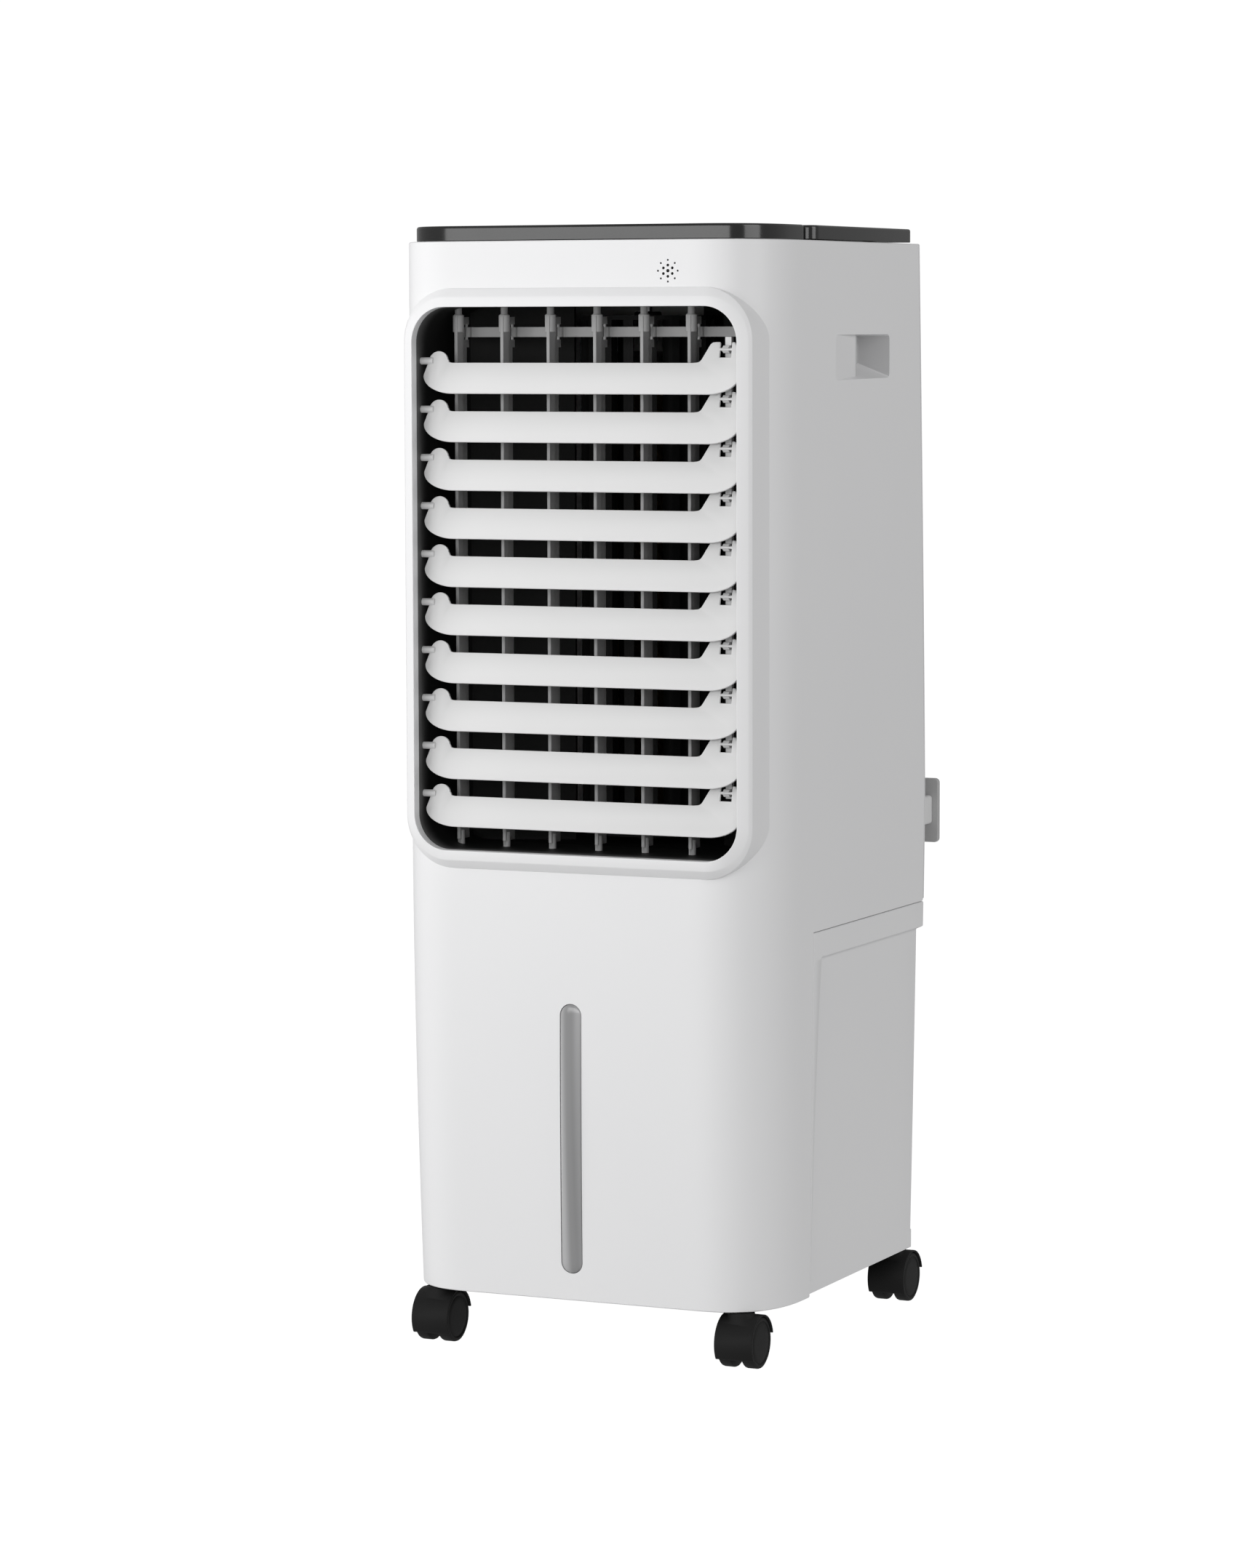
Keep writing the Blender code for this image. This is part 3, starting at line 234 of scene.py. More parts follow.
def fillet(points, radius, steps=3):
    """Round the inner corners of an open run of tuples; the ends stay."""
    result = [tuple(points[0])]
    for before, here, after in zip(points, points[1:], points[2:]):
        here = Vector(here)
        back = Vector(before) - here
        ahead = Vector(after) - here
        start = here + back * min(0.45, radius / back.length)
        end = here + ahead * min(0.45, radius / ahead.length)
        for step in range(steps + 1):
            share = step / steps
            result.append(tuple(start * (1 - share) ** 2 + here * 2 * share * (1 - share) + end * share ** 2))
    result.append(tuple(points[-1]))
    return result


def ease(value):
    """Smooth step from 0 to 1."""
    value = min(1.0, max(0.0, value))
    return value * value * (3 - 2 * value)


def quarter_turns(steps):
    """Angles from 0 to 90 degrees."""
    return [math.pi / 2 * i / steps for i in range(steps + 1)]


def quarter(radius, centre, start=0.0, steps=8):
    """A quarter circle of outline points."""
    return [(centre[0] + radius * math.cos(start + turn), centre[1] + radius * math.sin(start + turn))
            for turn in quarter_turns(steps)]


def inset_plan(points, distance):
    """Move a closed plan inwards; the plan runs anticlockwise or clockwise, whichever is found."""
    area = sum(a[0] * b[1] - b[0] * a[1] for a, b in zip(points, points[1:] + points[:1]))
    turn = 1.0 if area > 0 else -1.0
    result = []
    count = len(points)
    for index, (x, y) in enumerate(points):
        before = Vector(points[index - 1])
        after = Vector(points[(index + 1) % count])
        tangent = (after - before).normalized()
        result.append((x - turn * tangent.y * distance, y + turn * tangent.x * distance))
    return result


# ---- mesh objects --------------------------------------------------
def make_object(name, shape, material, smooth=35.0):
    """Make a mesh object from (vertices, faces) in millimetres."""
    vertices, faces = shape
    mesh = bpy.data.meshes.new(name)
    mesh.from_pydata([Vector(v) * MM for v in vertices], [], faces)
    work = bmesh.new()
    work.from_mesh(mesh)
    bmesh.ops.recalc_face_normals(work, faces=work.faces)
    work.to_mesh(mesh)
    work.free()
    if material is not None:
        mesh.materials.append(material)
    item = bpy.data.objects.new(name, mesh)
    bpy.context.scene.collection.objects.link(item)
    return shade(item, smooth)


def shade(item, angle):
    """Shade an object smooth, with an edge where its faces turn by more than an angle in degrees."""
    item.data.shade_smooth()
    item.data.set_sharp_from_angle(angle=math.radians(angle))
    return item


def boolean(item, shape, operation):
    """Add or cut a shape at once and drop the tool."""
    tool = make_object(item.name + "_tool", shape, None)
    modifier = item.modifiers.new(operation.lower(), "BOOLEAN")
    modifier.operation = operation
    modifier.object = tool
    modifier.solver = "EXACT"
    settle(item)
    bpy.data.objects.remove(tool, do_unlink=True)


def settle(item):
    """Replace an object's mesh by the result of its modifiers."""
    depsgraph = bpy.context.evaluated_depsgraph_get()
    result = bpy.data.meshes.new_from_object(item.evaluated_get(depsgraph))
    item.modifiers.clear()
    item.data = result


def cut(item, shape):
    """Cut a shape out of an object."""
    boolean(item, shape, "DIFFERENCE")


def add(item, shape):
    """Join a shape to an object as one body."""
    boolean(item, shape, "UNION")


def soften(item, width, segments=3):
    """Round the sharp edges of an object."""
    modifier = item.modifiers.new("edges", "BEVEL")
    modifier.width = width * MM
    modifier.segments = segments
    modifier.limit_method = "ANGLE"
    modifier.angle_limit = math.radians(35)
    modifier.harden_normals = True
    modifier.use_clamp_overlap = True
    settle(item)


def install(item, body, nodes):
    """Hang a piece on the empty of the body it moves with, and hide the CAD nodes it stands for."""
    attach(item, body)
    if nodes:
        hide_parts(*nodes)


# ---- materials -----------------------------------------------------
def set_inputs(node, values):
    """Set a node's inputs by their names."""
    for name, value in values.items():
        node.inputs[name].default_value = value


def link_value(nodes, links, source, low, high, socket):
    """Feed a socket with a value remapped to a range."""
    remap = nodes.new("ShaderNodeMapRange")
    set_inputs(remap, {"To Min": low, "To Max": high})
    links.new(source, remap.inputs["Value"])
    links.new(remap.outputs["Result"], socket)


def noise(nodes, links, coordinates, scale, detail=2.0):
    """A noise texture in object space, scale in cells per metre."""
    texture = nodes.new("ShaderNodeTexNoise")
    set_inputs(texture, {"Scale": scale, "Detail": detail})
    links.new(coordinates, texture.inputs["Vector"])
    return texture.outputs["Fac"]


def make_bump(nodes, links, height, strength, distance):
    """A bump node for a texture value; distance is in metres."""
    bump = nodes.new("ShaderNodeBump")
    set_inputs(bump, {"Strength": strength, "Distance": distance})
    links.new(height, bump.inputs["Height"])
    return bump


CLOUD_SCALE = 9.0  # cells per metre of the slow colour change
SMEAR_SCALE = 35.0  # cells per metre of the change in gloss
GRAIN_HEIGHT = 0.0004  # metres
WAVE_HEIGHT = 0.0006
FLUTE_HEIGHT = 0.004


def moulded(name, light, dark, roughness, grain=900.0, grain_depth=0.02, wave=60.0, wave_depth=0.0,
            coat=0.0, coat_roughness=0.1, metallic=0.0, specular=0.5, spread=0.04, transmission=0.0):
    """Moulded surface: cloudy colour and gloss, a fine grain and, if asked, slow waviness."""
    material = bpy.data.materials.new(name)
    material.use_nodes = True
    nodes = material.node_tree.nodes
    links = material.node_tree.links
    shader = nodes["Principled BSDF"]
    set_inputs(shader, {"Metallic": metallic, "Coat Weight": coat, "Coat Roughness": coat_roughness,
                        "Specular IOR Level": specular, "Transmission Weight": transmission})
    where = nodes.new("ShaderNodeTexCoord").outputs["Object"]
    cloud = noise(nodes, links, where, CLOUD_SCALE, 3.0)
    mix = nodes.new("ShaderNodeMix")
    mix.data_type = "RGBA"
    set_inputs(mix, {"A": (*light, 1.0), "B": (*dark, 1.0)})
    links.new(cloud, mix.inputs["Factor"])
    links.new(mix.outputs["Result"], shader.inputs["Base Color"])
    smear = noise(nodes, links, where, SMEAR_SCALE, 4.0)
    link_value(nodes, links, smear, roughness - spread, roughness + spread, shader.inputs["Roughness"])
    bump = make_bump(nodes, links, noise(nodes, links, where, grain), grain_depth, GRAIN_HEIGHT)
    if wave_depth > 0.0:
        slow = make_bump(nodes, links, noise(nodes, links, where, wave, 1.0), wave_depth, WAVE_HEIGHT)
        links.new(slow.outputs["Normal"], bump.inputs["Normal"])
    links.new(bump.outputs["Normal"], shader.inputs["Normal"])
    return material


def grey(value, tint=0.0):
    """A grey, slightly blue for a positive tint."""
    return (value, value, value * (1 + tint))


def blend_along(material, axis, middle, start, stop):
    """Blend a material's two greys by the distance from a plane, instead of by noise."""
    nodes = material.node_tree.nodes
    links = material.node_tree.links
    split = nodes.new("ShaderNodeSeparateXYZ")
    links.new(nodes.new("ShaderNodeTexCoord").outputs["Object"], split.inputs["Vector"])
    offset = nodes.new("ShaderNodeMath")
    offset.operation = "SUBTRACT"
    offset.inputs[1].default_value = middle * MM
    links.new(split.outputs[axis], offset.inputs[0])
    distance = nodes.new("ShaderNodeMath")
    distance.operation = "ABSOLUTE"
    links.new(offset.outputs["Value"], distance.inputs[0])
    share = nodes.new("ShaderNodeMapRange")
    share.interpolation_type = "SMOOTHSTEP"
    set_inputs(share, {"From Min": start * MM, "From Max": stop * MM})
    links.new(distance.outputs["Value"], share.inputs["Value"])
    mix = next(node for node in nodes if node.type == "MIX")
    links.new(share.outputs["Result"], mix.inputs["Factor"])
    return material


def make_duct_shade_material():
    """Duct wall: dark grey at the mouth, black inside; this darkening with depth is painted shade."""
    material = moulded("duct_wall_painted_shade", grey(0.13), grey(0.012), 0.55, 800.0, 0.08, specular=0.25)
    before = 20.0  # the plane lies this far in front of the casing
    return blend_along(material, "Y", FRONT - before, before - 3.0, before + 17.0)


def make_lens_highlight_material():
    """Smoked lens, paler towards its moulded rim; the paleness is a painted highlight."""
    material = moulded("smoked_lens_painted_rim_highlight", grey(0.26, 0.01), grey(0.42, 0.01), 0.20, 400.0, 0.05,
                       coat=0.35, coat_roughness=0.12)
    return blend_along(material, "X", LENS_X + 1.0, 0.2 * LENS_HALF, LENS_HALF)


def make_pad_material():
    """Corrugated cellulose: slanted flutes in brown paper."""
    material = moulded("cellulose_flutes", (0.36, 0.24, 0.12), (0.22, 0.14, 0.07), 0.88, 500.0, 0.25)
    nodes = material.node_tree.nodes
    links = material.node_tree.links
    where = nodes.new("ShaderNodeTexCoord").outputs["Object"]
    wave = nodes.new("ShaderNodeTexWave")
    wave.wave_type = "BANDS"
    wave.bands_direction = "DIAGONAL"
    set_inputs(wave, {"Scale": 45.0, "Distortion": 1.2})
    links.new(where, wave.inputs["Vector"])
    bump = make_bump(nodes, links, wave.outputs["Fac"], 0.9, FLUTE_HEIGHT)
    links.new(bump.outputs["Normal"], nodes["Principled BSDF"].inputs["Normal"])
    return material


def make_board_material():
    """Circuit board in two slightly different greens."""
    light, dark = (0.02, 0.17, 0.06), (0.05, 0.24, 0.09)
    return moulded("green_circuit_board", light, dark, 0.38, 300.0, 0.10, spread=0.08)


WHITE = moulded("white_gloss_shell", grey(0.80, 0.006), grey(0.78, 0.010), 0.38, 1400.0, 0.012, 45.0, 0.015,
                specular=0.35)
# Louver white, for the louvers and their bar: darker than the shell, and the darkness is painted shade.
LOUVER_WHITE_SHADED = moulded("white_satin_louver_painted_shade", grey(0.69), grey(0.66), 0.44, 1200.0, 0.03)
# Grip wall: a greyer white that paints the shade on the deep walls of the finger pockets.
GRIP_PAINTED_SHADE = moulded("white_grip_wall_painted_shade", grey(0.58, 0.006), grey(0.56, 0.010), 0.44, 900.0, 0.06)
# Vane white, for the vanes and their bar: much darker than the shell, and the darkness is painted shade.
VANE_WHITE_SHADED = moulded("white_satin_vane_painted_shade", grey(0.44), grey(0.41), 0.48, 1200.0, 0.03, specular=0.3)
CAP = moulded("dark_gloss_cap", grey(0.016), grey(0.013), 0.16, 1600.0, 0.006, 40.0, 0.006,
              coat=0.2, coat_roughness=0.08)
CASTER = moulded("black_satin_caster", grey(0.013), grey(0.010), 0.55, 900.0, 0.10, specular=0.15)
WHEEL = moulded("black_nylon_wheel", grey(0.015), grey(0.011), 0.58, 700.0, 0.12, specular=0.15)
BLACK = moulded("black_matte_inner", grey(0.012), grey(0.009), 0.65, 800.0, 0.10, specular=0.2)
GREY = moulded("grey_satin_fitting", grey(0.30), grey(0.27), 0.45, 1100.0, 0.06)
HOOK = moulded("white_hook_post", grey(0.74), grey(0.70), 0.42, 1100.0, 0.05)
# Hook plate: a darker grey than the post, which paints the shade on the plate's face.
HOOK_PLATE_SHADED = moulded("hook_plate_painted_shade", grey(0.46), grey(0.43), 0.42, 1100.0, 0.05)
PIPE = moulded("milky_tube", grey(0.60), grey(0.55), 0.30, 1000.0, 0.03, transmission=0.2)
STEEL = moulded("brushed_steel", grey(0.52), grey(0.44), 0.32, 1800.0, 0.05, metallic=1.0)
RUBBER = moulded("black_rubber", grey(0.020), grey(0.014), 0.75, 700.0, 0.20)
# Black for the discs in the buzzer holes: painted shade for the depth of the holes.
HOLE_PAINTED_SHADE = moulded("hole_painted_shade", grey(0.010), grey(0.006), 0.8, 900.0, 0.05)
# Duct: dark grey to black with depth, which is painted shade.
DUCT = make_duct_shade_material()
# Lens: smoked grey, with a painted highlight towards its rim.
LENS = make_lens_highlight_material()
PAD = make_pad_material()
BOARD = make_board_material()


# ---- the body's outer form, as in the CAD --------------------------
def setback(z):
    """How far the front leans back at a height."""
    drop = max(0.0, BOW_START - z) / (BOW_START - CASING_BOTTOM)
    return FRONT_SETBACK * drop ** 1.7


def rear_at(z):
    """The back's position at a height."""
    if z > BULGE_HEIGHT:
        reach = (z - BULGE_HEIGHT) / (CASING_TOP - BULGE_HEIGHT)
    else:
        reach = (BULGE_HEIGHT - z) / (BULGE_HEIGHT - CASING_BOTTOM)
    return REAR + REAR_BULGE * (1 - min(1.0, reach) ** 1.25)


def front_corner(inset, z, steps=28):
    """Right front corner in plan, from the front face to the side, as (x, y)."""
    half = HALF - inset
    across = CORNER_X - inset
    along = CORNER_Y - inset
    front = FRONT + inset + setback(z)
    power = 2 / CORNER_POWER
    points = []
    for angle in quarter_turns(steps):
        points.append((half - across + across * math.sin(angle) ** power,
                       front + along - along * math.cos(angle) ** power))
    return points


def both_sides(right):
    """Mirror a right-hand run of points into a run from the left end to the right end."""
    return [(-x, y) for x, y in reversed(right)] + list(right)


def edge_inset(z, low, high, radius):
    """How far a wall draws in at a height so that its rims are rounded."""
    depth = max(radius - (z - low), radius - (high - z), 0.0)
    return radius - math.sqrt(max(0.0, radius * radius - depth * depth))


def rim_heights(low, high, radius, count):
    """Heights from low to high, close together at the two rounded rims."""
    turns = quarter_turns(4)[:-1]
    bottom = [low + radius * (1 - math.cos(turn)) for turn in turns]
    middle = [low + radius + (high - low - 2 * radius) * i / count for i in range(count + 1)]
    top = [high - radius * (1 - math.cos(turn)) for turn in reversed(turns)]
    return bottom + middle + top


def wrap(outer_run, inner_run, heights):
    """A wall that follows an open run of plan points at each height."""
    loops = []
    for z in heights:
        outline = outer_run(z) + list(reversed(inner_run(z)))
        loops.append([(x, y, z) for x, y in outline])
    return loft(loops)


def shell_normal(point):
    """Outward direction of the casing's outer form at a point, and the point's distance from that form."""
    x, y, z = point
    side = -1.0 if x < 0 else 1.0
    u = max(0.0, abs(x) - (HALF - CORNER_X)) / CORNER_X
    centre_y = FRONT + setback(z) + CORNER_Y
    v = max(0.0, centre_y - y) / CORNER_Y
    power = CORNER_POWER
    slope = setback(z + 0.5) - setback(z - 0.5)
    level = u ** power + v ** power
    gradient = Vector((side * power / CORNER_X * u ** (power - 1),
                       -power / CORNER_Y * v ** (power - 1),
                       power / CORNER_Y * v ** (power - 1) * slope))
    if gradient.length < 1e-9:
        return Vector((side, 0.0, 0.0)), 99.0
    return gradient.normalized(), abs(level - 1) / gradient.length


SHELL_REACH = 0.35  # how near the form a face has to be, and how well it has to face outward
SHELL_MATCH = 0.93


def shade_shell(item):
    """Give the casing's outer face the exact normals of its curved form."""
    mesh = shade(item, 30).data
    directions = [Vector(corner.vector) for corner in mesh.corner_normals]
    for face in mesh.polygons:
        centre = face.center / MM
        normal, distance = shell_normal(centre)
        if distance > SHELL_REACH or normal.dot(face.normal) < SHELL_MATCH:
            continue
        for loop in face.loop_indices:
            point = mesh.vertices[mesh.loops[loop].vertex_index].co / MM
            directions[loop] = shell_normal(point)[0]
    mesh.normals_split_custom_set(directions)


# ---- casing --------------------------------------------------------
def seam_outline(gap):
    """Side view (y, z) of the space that the tank takes from the casing's sides."""
    top, bottom = TANK_SIDE_FRONT
    end = REAR + 60
    return [(bottom - gap, 0.0), (top - gap, SEAM + gap), (end, SEAM + gap), (end, 0.0)]


def pocket_plan(side, inset):
    """Plan of the finger pocket: a shallow ramp in front, a rounded crest, and a deep grip behind."""
    front, crest, back = POCKET_Y
    grip = HALF - POCKET_DEPTH
    run = [(HALF + 2, front + inset), (HALF, front + inset), (HALF - 5, crest - 6), (HALF - 6, crest),
           (grip, crest + 2), (grip, back - inset), (HALF + 2, back - inset)]
    return [(side * x, y) for x, y in fillet(run, 2.2, 4)]


def handle_pocket(side):
    """The finger pocket in one side, round at the corners; its floor slopes up towards the grip."""
    radius = 3.6
    slope = 0.42
    floor, ceiling = POCKET_Z
    low = []
    high = []
    for turn in quarter_turns(4):
        plan = pocket_plan(side, radius * (1 - math.sin(turn)))
        rise = radius * (1 - math.cos(turn))
        low.append([(x, y, floor + (HALF - min(abs(x), HALF)) * slope + rise) for x, y in plan])
        high.append([(x, y, ceiling - rise) for x, y in plan])
    return loft(low + high[::-1])


def handle_block(side):
    """The moulded cup around the finger pocket."""
    front = POCKET_Y[0] - 4.0
    back = POCKET_Y[2] + 3.0
    deep = HALF - POCKET_DEPTH - WALL
    plan = [(HALF - 1, front), (HALF - 4, front), (HALF - 12, front + 49), (deep, front + 51),
            (deep, back), (HALF - 1, back)]
    return loft([[(side * x, y, z) for x, y in plan] for z in (POCKET_Z[0] - 3.0, POCKET_Z[1] + WALL)])


def outlet_hole():
    """The hole that the outlet frame fills in the casing front, without a visible joint."""
    bite = 0.2
    grow_x, grow_z, grow_radius = (growth - bite for growth in BEZEL_GROWTH)
    outline = rounded(OUTLET_HALF[0] + grow_x, OUTLET_HALF[1] + grow_z, OUTLET_RADIUS + grow_radius,
                      (OUTLET_X, OUTLET_Z), 12)
    return prism(outline, "Y", FRONT - 20, FRONT + BEZEL_SKIRT + 1)


def lens_share(z):
    """Height within the level window, from -1 at the bottom to 1 at the top."""
    return (z - LENS_Z) / LENS_REACH


def lens_slot(clearance):
    """Outline (x, z) of the level window."""
    half = LENS_HALF + clearance
    outline = rounded(half, LENS_REACH + clearance, half - 0.01, (LENS_X, LENS_Z), 10)
    return [(x + LENS_LEAN * lens_share(z), z) for x, z in outline]


def sound_holes(clearance, start, stop):
    """Buzzer grille, or the black discs of painted shade that fill it: a centre hole, a ring of six and a
    ring of eight smaller ones.
    """
    rings = ((1, 0.0, 1.15), (6, 3.6, 0.95), (8, 6.9, 0.65))
    drills = []
    for count, reach, radius in rings:
        for index in range(count):
            turn = math.pi / 2 + 2 * math.pi * index / count
            x = SOUND_X + reach * math.cos(turn)
            z = SOUND_Z + reach * math.sin(turn)
            drills.append(cylinder("Y", x, z, radius + clearance, start, stop, 14))
    return merge(drills)


def paint_grip_shade(casing):
    """Painted shade: a greyer white on the deep walls of the finger pockets, where shade falls."""
    casing.data.materials.append(GRIP_PAINTED_SHADE)
    for polygon in casing.data.polygons:
        x, y, z = polygon.center / MM
        deep = HALF - POCKET_DEPTH - 1.5 < abs(x) < HALF - 1.0 and POCKET_Y[1] - 5 < y < POCKET_Y[2] + 1
        level = POCKET_Z[0] - 3.5 < z < POCKET_Z[1] + 2.5
        if deep and level and abs(polygon.normal.z) < 0.7:
            polygon.material_index = 1


def make_casing():
    """White shell with rounded rims."""
    low, high, rim = CASING_BOTTOM, CASING_TOP, 1.2

    def run(inset, z):
        side = [(HALF - inset, REAR - 60 + 20 * i) for i in range(3)]
        return both_sides(front_corner(inset, z) + side + [(HALF - inset, rear_at(z) - 6.0)])

    def outer(z):
        return run(edge_inset(z, low, high, rim), z)

    def inner(z):
        return run(WALL, z)

    casing = make_object("casing_skin", wrap(outer, inner, rim_heights(low, high, rim, 44)), WHITE)
    cut(casing, prism(seam_outline(GAP), "X", -HALF - 20, HALF + 20))
    cut(casing, outlet_hole())
    cut(casing, prism(lens_slot(GAP), "Y", FRONT - 10, FRONT + 25))
    for side in (1, -1):
        add(casing, handle_block(side))
        cut(casing, handle_pocket(side))
    cut(casing, sound_holes(0.0, FRONT - 5, FRONT + WALL + 1))
    shade_shell(casing)
    paint_grip_shade(casing)
    install(casing, "body", ["front_casing"])
    # Black discs just inside the buzzer holes: painted shade for the depth of the holes.
    hole_shade = make_object("buzzer_hole_shade", sound_holes(-0.05, FRONT + 0.2, FRONT + WALL), HOLE_PAINTED_SHADE)
    install(hole_shade, "body", [])


def make_lens():
    """Level window strip: crowned across, and bulging at the middle of its height."""
    rows = 60
    shares = [-1, -0.93, -0.8, -0.6, -0.3, 0, 0.3, 0.6, 0.8, 0.93, 1]
    loops = []
    straight = LENS_REACH - LENS_HALF
    turns = quarter_turns(12)
    heights = [(LENS_Z - straight - LENS_HALF * math.cos(t), LENS_HALF * math.sin(t)) for t in turns]
    heights += [(LENS_Z - straight + 2 * straight * i / rows, LENS_HALF) for i in range(1, rows)]
    heights += [(LENS_Z + straight + LENS_HALF * math.sin(t), LENS_HALF * math.cos(t)) for t in turns]
    for z, half in heights:
        half = max(0.3, half)
        face = FRONT + setback(z)
        middle_x = LENS_X + LENS_LEAN * lens_share(z)
        crown = 1.5 + LENS_BULGE * (1 - lens_share(z) ** 2)
        line = [(half * s, face + 0.5 - crown * (1 - s * s) ** 0.7 * half / LENS_HALF) for s in shares]
        outline = line + [(half, face + 4.4), (-half, face + 4.4)]
        loops.append([(middle_x + x, y, z) for x, y in outline])
    lens = make_object("level_window", loft(loops), LENS, 60)
    install(lens, "body", ["level_lens"])


def make_back_panel():
    """Rear shell around the inlet."""
    radius = 5.0
    low, high, rim = PANEL_BOTTOM, CASING_TOP, 1.0

    def run(depth, top_rim):
        def points(z):
            inset = depth + (edge_inset(z, low, high, rim) if top_rim else 0.0)
            back = rear_at(z)
            bend = quarter(radius - inset, (HALF - radius, back - radius))
            right = [(0.02, back - inset)] + list(reversed(bend)) + [(HALF - inset, back - 5.6)]
            return both_sides(right)
        return points

    shape = wrap(run(0.0, True), run(WALL, False), rim_heights(low, high, rim, 40))
    panel = make_object("back_skin", shape, WHITE)
    cut(panel, prism(rounded(*INLET_HALF, 1, (0, INLET_Z), 2), "Y", REAR - 10, REAR + 40))
    holes = [cylinder("Y", x, z, radius + GAP, REAR - 10, REAR + 40) for x, z, radius in (GLAND, LOCK)]
    cut(panel, merge(holes))
    install(panel, "body", ["back_panel"])


# ---- cap -----------------------------------------------------------
def slab(plan, low, high, rim, foot=0.3):
    """A plate with a rounded upper edge and a slightly eased lower one."""
    levels = [(foot, low), (0.0, low + foot), (0.0, low + foot + 0.5), (0.0, high - rim - 0.5)]
    for turn in quarter_turns(5):
        levels.append((rim * (1 - math.cos(turn)), high - rim + rim * math.sin(turn)))
    loops = []
    for inset, z in levels:
        outline = inset_plan(plan, inset) if inset > 0 else plan
        loops.append([(x, y, z) for x, y in outline])
    return loft(loops)


def make_cap():
    """Dark front cap and the hinged rear lid."""
    inset = 5.0
    half = HALF - inset
    end = LID_FRONT - 6.0
    plan = both_sides(front_corner(inset, CASING_TOP) + quarter(9.0, (half - 9.0, end - 9.0), steps=10))
    cap = make_object("touch_cap", slab(plan, CASING_TOP + 0.3, HEIGHT, 1.6), CAP, 30)
    install(cap, "body", ["control_panel"])
    half = HALF - 3.2
    right = quarter(9.0, (half - 9.0, LID_FRONT + 9.0), -math.pi / 2, 10)
    right += quarter(5.0, (half - 5.0, LID_REAR - 5.0), steps=10)
    shape = slab(both_sides(right), LID_BOTTOM, HEIGHT, 1.6)
    lowered = []
    for x, y, z in shape[0]:
        chamfer = 3.0 * max(0.0, 1 - (z - LID_BOTTOM) / 2.5)
        lowered.append((x, min(y, LID_REAR - chamfer), z))
    lid = make_object("lid_cap", (lowered, shape[1]), CAP, 30)
    for side in (1, -1):
        cut(lid, box((side * HINGE_X - 3.8, HINGE_Y - 4.2, LID_BOTTOM - 5),
                     (side * HINGE_X + 3.8, LID_REAR + 5, HINGE_Z + 3.9)))
        cut(lid, cylinder("X", HINGE_Y, HINGE_Z, 1.5 + GAP, side * HINGE_X - 13, side * HINGE_X + 13, 20))
    install(lid, "lid", ["fill_lid"])


# ---- outlet --------------------------------------------------------
def vane_x(index):
    """Pivot position of a vane."""
    return VANE_FIRST_X + VANE_PITCH * index


def louver_z(index):
    """Pivot height of a louver."""
    return LOUVER_TOP - LOUVER_PITCH * index


def outlet_loops(sections):
    """Rounded rings about the outlet.

    A section is its growth across, upward and at the corners, its depth, and extra depth at the sides.
    """
    half_x, half_z = OUTLET_HALF
    loops = []
    for grow_x, grow_z, grow_radius, depth, side_depth in sections:
        outline = rounded(half_x + grow_x, half_z + grow_z, OUTLET_RADIUS + grow_radius,
                          (OUTLET_X, OUTLET_Z), 20)
        loop = []
        for x, z in outline:
            sideways = ease((abs(x - OUTLET_X) - 85.0) / 33.0)
            loop.append((x, FRONT + depth + side_depth * sideways, z))
        loops.append(loop)
    return loops


def make_bezel():
    """White bezel: inner wall, lip, sloping rim and outer wall."""
    skirt = (*BEZEL_GROWTH, BEZEL_SKIRT, 0.0)
    front = [(0.0, 0.0, 0.0, BEZEL_DEPTH - 0.1, 0.0), (0.0, 0.0, 0.0, -LIP_PROUD, 0.0),
             (7.0, 6.5, 6.5, 0.6 - LIP_PROUD, 3.4), (*BEZEL_GROWTH, 0.3, 0.0), skirt]
    sections = fillet(front, 0.9, 4)[1:-1]
    sections += [skirt, (7.0, 10.0, 9.0, BEZEL_SKIRT, 0.0),
                 (7.0, 10.0, 9.0, BEZEL_DEPTH, 0.0), (0.0, 0.0, 0.0, BEZEL_DEPTH, 0.0)]
    bezel = make_object("outlet_bezel", loft(outlet_loops(sections), ring=True), WHITE, 50)
    install(bezel, "body", ["outlet_frame"])


def make_duct():
    """Dark duct behind the bezel, which carries the pivots; its darkness is painted shade."""
    start = BEZEL_DEPTH + 0.1
    shoulder = BEZEL_SKIRT - 0.1
    rings = ((0.0, 0.0, 0.0, start), (6.8, 9.8, 8.8, start), (6.8, 9.8, 8.8, shoulder),
             (JAMB, JAMB, 3.0, shoulder), (JAMB, JAMB, 3.0, DUCT_DEPTH), (0.0, 0.0, 0.0, DUCT_DEPTH))
    sections = [(*ring, 0.0) for ring in rings]
    duct = make_object("outlet_duct", loft(outlet_loops(sections), ring=True), DUCT, 40)
    install(duct, "body", [])


